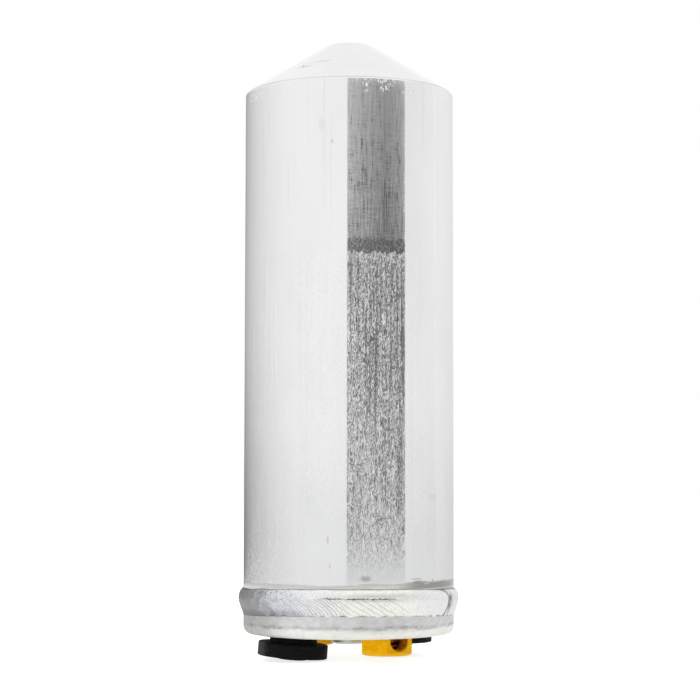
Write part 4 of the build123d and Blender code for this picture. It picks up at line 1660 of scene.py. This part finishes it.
@dataclass
class DustPlugs:
    """The two plugs that keep the ports clean."""

    inlet: DustPlug = field(default_factory=lambda: DustPlug(
        "inlet_plug", "inlet_dust_plug", "inlet_plug", mouth=(-15.365, -8.022, 3.006), spigot_radius=6.65,
        neck=2.35, flange_thickness=3.85, tilt=4.3, pip_height=0.75))
    outlet: DustPlug = field(default_factory=lambda: DustPlug(
        "outlet_plug", "outlet_dust_plug", "outlet_plug", mouth=(14.259, 9.618, 3.0), spigot_radius=6.05,
        neck=0.3, flange_thickness=3.0))
    finish: PlugFinish = field(default_factory=PlugFinish)

    def build(self) -> List[bpy.types.Object]:
        """Makes both plugs of one plastic."""
        material = self.finish.make()
        return [self.inlet.build(material), self.outlet.build(material)]


@dataclass
class ReliefSpring:
    """The valve's coil: its ends are ground flat. Millimetres."""

    centre: Tuple[float, float] = (10.589, -13.554)
    mean_radius: float = 2.95
    wire_radius: float = 0.45
    turns: int = 7
    turn_steps: int = 40
    top_gap: float = 0.01
    lift: float = 1.5
    finish: PlainMetal = PlainMetal("gilt_spring_steel", (0.55, 0.30, 0.03), (0.30, 0.13, 0.01), 0.3,
                                    (900.0, 900.0, 900.0))

    def build(self) -> bpy.types.Object:
        """Winds the coil on its wire's section, caps and grinds it.

        Returns:
            The finished spring.
        """
        low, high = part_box("relief_spring")
        length = high[2] - low[2]
        spring = self.wind(length)
        with Bench.editing(spring):
            bpy.ops.mesh.select_all(action="DESELECT")
            bpy.ops.mesh.select_non_manifold()
            bpy.ops.mesh.fill_holes(sides=0)
        Bench.sew(spring)
        Bench.clear()
        ground = length - self.top_gap * MM
        bpy.ops.mesh.primitive_cylinder_add(vertices=48, radius=2 * self.mean_radius * MM, depth=ground,
                                            location=(0, 0, ground / 2))
        Bench.cut(spring, bpy.context.active_object, "INTERSECT")
        Bench.triangulate(spring)
        Bench.smooth(spring, 45.0)
        anchor = (self.centre[0] * MM, self.centre[1] * MM, low[2])
        Bench.move(spring, Vector(anchor))
        Finish.dress(spring, self.finish.make(), "spring_steel")
        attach(spring, "vessel")
        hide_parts("relief_spring")
        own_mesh(spring)
        return spring

    def wind(self, length: float) -> bpy.types.Object:
        """Winds the wire's round section up into a coil.

        Args:
            length: The coil's length in metres.

        Returns:
            The open-ended coil round the upright axis.
        """
        Bench.clear()
        bpy.ops.mesh.primitive_circle_add(vertices=14, radius=self.wire_radius * MM,
                                          location=(self.mean_radius * MM, 0, 0),
                                          rotation=(math.pi / 2, 0, 0))
        spring = bpy.context.active_object
        spring.name = "relief_coil"
        spring.data.name = "relief_coil"
        bpy.ops.object.transform_apply(location=True, rotation=True, scale=True)
        coil = spring.modifiers.new("coil", "SCREW")
        coil.axis = "Z"
        coil.angle = FULL_TURN
        coil.iterations = self.turns
        coil.screw_offset = length / self.turns
        coil.steps = self.turn_steps
        coil.render_steps = self.turn_steps
        bpy.ops.object.modifier_apply(modifier=coil.name)
        return spring


@dataclass
class InnerPieces:
    """What the can hides: tube, screen, plates, pads, beads, bed spring and the valve's works."""

    drawn: PlainMetal = PlainMetal("tube_aluminium", (0.80, 0.80, 0.80), (0.66, 0.66, 0.67), 0.25)
    pressed: PlainMetal = PlainMetal("plate_aluminium", (0.76, 0.76, 0.76), (0.60, 0.60, 0.61), 0.35,
                                     (900.0, 90.0, 900.0))
    woven: PlainMetal = PlainMetal("screen_steel", (0.62, 0.62, 0.62), (0.42, 0.42, 0.43), 0.3,
                                   (2500.0, 2500.0, 2500.0))
    wire: PlainMetal = PlainMetal("spring_steel", (0.50, 0.50, 0.51), (0.32, 0.32, 0.33), 0.3,
                                  (900.0, 900.0, 900.0))
    brass: PlainMetal = PlainMetal("valve_brass", (0.78, 0.60, 0.30), (0.55, 0.39, 0.16), 0.28,
                                   (150.0, 150.0, 3000.0))

    def build(self) -> None:
        """Dresses each inner piece in its own finish."""
        makers = {
            ("riser_tube",): self.drawn,
            ("upper_perforated_plate", "lower_perforated_plate"): self.pressed,
            ("outlet_screen",): self.woven,
            ("bed_spring",): self.wire,
            ("relief_valve_seat", "relief_poppet"): self.brass,
            ("relief_valve_seal", "switch_port_seal", "relief_poppet_seal"): Rubber(),
            ("upper_filter_pad", "lower_filter_pad"): Felt(),
            ("desiccant_charge",): Beads(),
        }
        for names, finish in makers.items():
            material = finish.make()
            for name in names:
                Finish.dress(FRAME["nodes"][name], material)


# ---------------------------------------------------------------- studio


@dataclass(frozen=True)
class TentPanel:
    """One curved wall of the light tent, seen only in reflections. Angles are from the camera's side."""

    name: str
    from_angle: float
    to_angle: float
    bottom: float
    top: float
    from_glow: float
    to_glow: float
    bend: float = 1.0
    distance: float = 0.65
    foot_share: float = 1.0
    foot_top: float = 0.10
    rise: float = 0.0

    def build(self) -> bpy.types.Object:
        """Spins an upright line into a curved wall, and lets it glow from one tone to the other.

        Returns:
            The wall.
        """
        start = math.radians(self.from_angle)
        foot = Vector((math.sin(start) * self.distance, -math.cos(start) * self.distance, self.bottom))
        wall = Bench.point(self.name, foot)
        bpy.ops.mesh.extrude_region_move(TRANSFORM_OT_translate={"value": (0, 0, self.top - self.bottom)})
        bpy.ops.mesh.select_all(action="SELECT")
        sweep = math.radians(self.from_angle - self.to_angle)
        bpy.ops.mesh.spin(steps=48, angle=sweep, center=ORIGIN, axis=(0, 0, 1))
        bpy.ops.object.mode_set(mode="OBJECT")
        Finish.dress(wall, self.glow())
        for ray in ("camera", "diffuse", "shadow", "transmission"):
            setattr(wall, f"visible_{ray}", False)
        wall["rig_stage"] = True
        return wall

    def glow(self) -> bpy.types.Material:
        """Makes the wall's light, graded along its sweep and up its height.

        Returns:
            The material.
        """
        material, board = Board.of_material(self.name)
        angle = board.math("ARCTAN2", board.x, board.y * -1.0)
        share = board.spread(angle, math.radians(self.from_angle), math.radians(self.to_angle), smooth=False)
        foot = board.spread(board.z, 0.0, self.foot_top, 1.0 - self.foot_share, 0.0, smooth=False)
        rise = board.spread(board.z, self.bottom, self.top, 1.0 - self.rise, 1.0 + self.rise, smooth=False)
        along = board.blend_value(share ** self.bend, self.from_glow, self.to_glow)
        light = board.signal("ShaderNodeEmission", {"Strength": along * ((1.0 - foot * share) * rise)})
        board.put("ShaderNodeOutputMaterial", {"Surface": light})
        return material


@dataclass
class Studio:
    """Camera, floor, world, lamps and the light tent."""

    floor_height: float
    floor_size: float = 8.0
    floor_paint: Triple = (0.62, 0.62, 0.62)
    surroundings: Triple = (0.95, 0.97, 1.0)
    aim: Triple = (0, 0, 0.08)
    camera_place: Triple = (0.000290, -0.57023, 0.04617)
    camera_pitch: float = 3.767
    camera_roll: float = 0.0766
    camera_lens: float = 102.03
    panels: Tuple[TentPanel, ...] = (
        TentPanel("dark_flag", -2.0, 62.0, -0.003, 0.125, 0.19, 0.15),
        TentPanel("black_flag", -2.0, 62.0, 0.125, 0.172, 0.13, 0.10),
        TentPanel("grey_flag_near", -2.0, 40.0, 0.172, 0.37, 0.60, 0.32, 0.6, rise=0.28),
        TentPanel("grey_flag_far", 40.0, 62.0, 0.172, 0.37, 0.32, 0.48, 1.5, rise=0.28),
        TentPanel("right_wall", 62.0, 105.0, -0.003, 0.40, 0.90, 0.95, foot_share=0.9),
        TentPanel("back_right_wall", 105.0, 166.0, -0.003, 0.235, 0.95, 0.78, 2.2, 0.30, 0.8),
        TentPanel("back_left_wall", -55.0, -168.0, -0.003, 0.235, 0.99, 0.32, 2.0, 0.30, 0.42),
        TentPanel("upper_light", -100.0, 100.0, 0.62, 1.1, 1.15, 1.15),
    )

    def build(self) -> None:
        """Sets the whole studio up."""
        bpy.context.scene.view_settings.view_transform = "Standard"
        self.camera()
        self.floor()
        self.world()
        self.lamp("key_softbox", Vector((-0.55, -0.8, 0.75)), 0.7, 4.0)
        self.lamp("fill_softbox", Vector((0.8, -0.7, 0.45)), 0.8, 3.0)
        self.lamp("top_softbox", Vector((0.0, 0.1, 1.1)), 0.8, 2.5)
        for panel in self.panels:
            panel.build()

    def camera(self) -> None:
        """Stands the camera at the viewing place."""
        data = bpy.data.cameras.new("camera")
        data.lens = self.camera_lens
        data.sensor_width = 36.0
        data.clip_start = 0.01
        data.clip_end = 20.0
        camera = bpy.data.objects.new("camera", data)
        bpy.context.scene.collection.objects.link(camera)
        pitch = Matrix.Rotation(math.radians(90 + self.camera_pitch), 4, "X")
        roll = Matrix.Rotation(math.radians(self.camera_roll), 4, "Z")
        camera.location = self.camera_place
        camera.rotation_euler = (pitch @ roll).to_euler()
        bpy.context.scene.camera = camera

    @staticmethod
    def seen(board: Board) -> Tuple[Signal, Signal]:
        """Marks the rays that come from the eye.

        Args:
            board: The board of the floor or the world.

        Returns:
            1 for the camera's own rays, and 1 for those and what they meet in mirrors and glass.
        """
        path = board.put("ShaderNodeLightPath")
        names = ("Is Camera Ray", "Is Glossy Ray", "Is Transmission Ray")
        direct, mirrored, through = [Signal(board, path.outputs[name]) for name in names]
        return direct, board.math("MAXIMUM", board.math("MAXIMUM", direct, mirrored), through)

    def floor(self) -> None:
        """Lays a plain white floor that keeps the object's shadow."""
        Bench.clear()
        bpy.ops.mesh.primitive_plane_add(size=self.floor_size, location=(0, 0, self.floor_height))
        floor = bpy.context.active_object
        floor.name = "floor"
        material, board = Board.of_material("floor_white")
        direct, seen = self.seen(board)
        paint = board.signal("ShaderNodeBsdfDiffuse", {"Color": self.floor_paint})
        strength = board.math("MULTIPLY_ADD", seen, 0.45, direct * 0.35)
        glow = board.signal("ShaderNodeEmission", {"Strength": strength})
        both = board.signal("ShaderNodeAddShader", {0: paint, 1: glow})
        board.put("ShaderNodeOutputMaterial", {"Surface": both})
        Finish.dress(floor, material)
        floor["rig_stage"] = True

    def world(self) -> None:
        """Makes the white surroundings, dimmer where they light the object."""
        world = bpy.data.worlds.new("studio")
        bpy.context.scene.world = world
        world.use_nodes = True
        board = Board(world.node_tree)
        white = board.signal("ShaderNodeBackground", {"Color": (1.0, 1.0, 1.0), "Strength": 1.0})
        soft = board.signal("ShaderNodeBackground", {"Color": self.surroundings, "Strength": 0.5})
        mix = board.signal("ShaderNodeMixShader", {0: self.seen(board)[1], 1: soft, 2: white})
        board.put("ShaderNodeOutputWorld", {"Surface": mix})

    def lamp(self, name: str, place: Vector, size: float, power: float) -> None:
        """Hangs one soft lamp that looks at the object's middle.

        Args:
            name: The lamp's name.
            place: Where it hangs.
            size: The side of its square face, in metres.
            power: Its power in watts.
        """
        data = bpy.data.lights.new(name, "AREA")
        data.size = size
        data.energy = power
        lamp = bpy.data.objects.new(name, data)
        bpy.context.scene.collection.objects.link(lamp)
        lamp.location = place
        lamp.rotation_euler = (Vector(self.aim) - place).to_track_quat("-Z", "Y").to_euler()
        lamp.visible_glossy = False


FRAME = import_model()
CAD_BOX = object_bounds()


def main() -> None:
    """Builds and dresses the object, then the studio."""
    logging.basicConfig(level=logging.INFO, format="%(message)s")
    can = Canister().build()
    log.info("can: %d vertices", len(can.data.vertices))
    bead = WeldBead().build()
    log.info("weld bead: %d vertices", len(bead.data.vertices))
    PortHead().build()
    log.info("port head dressed")
    body = ReliefBody().build()
    log.info("relief body: %d vertices", len(body.data.vertices))
    plugs = DustPlugs().build()
    log.info("dust plugs: %d", len(plugs))
    InnerPieces().build()
    log.info("inner pieces dressed")
    spring = ReliefSpring().build()
    log.info("relief spring: %d vertices", len(spring.data.vertices))
    Studio(floor_height=CAD_BOX[0].z - 0.02 * MM).build()
    log.info("studio set up")


if __name__ == "__main__":
    main()
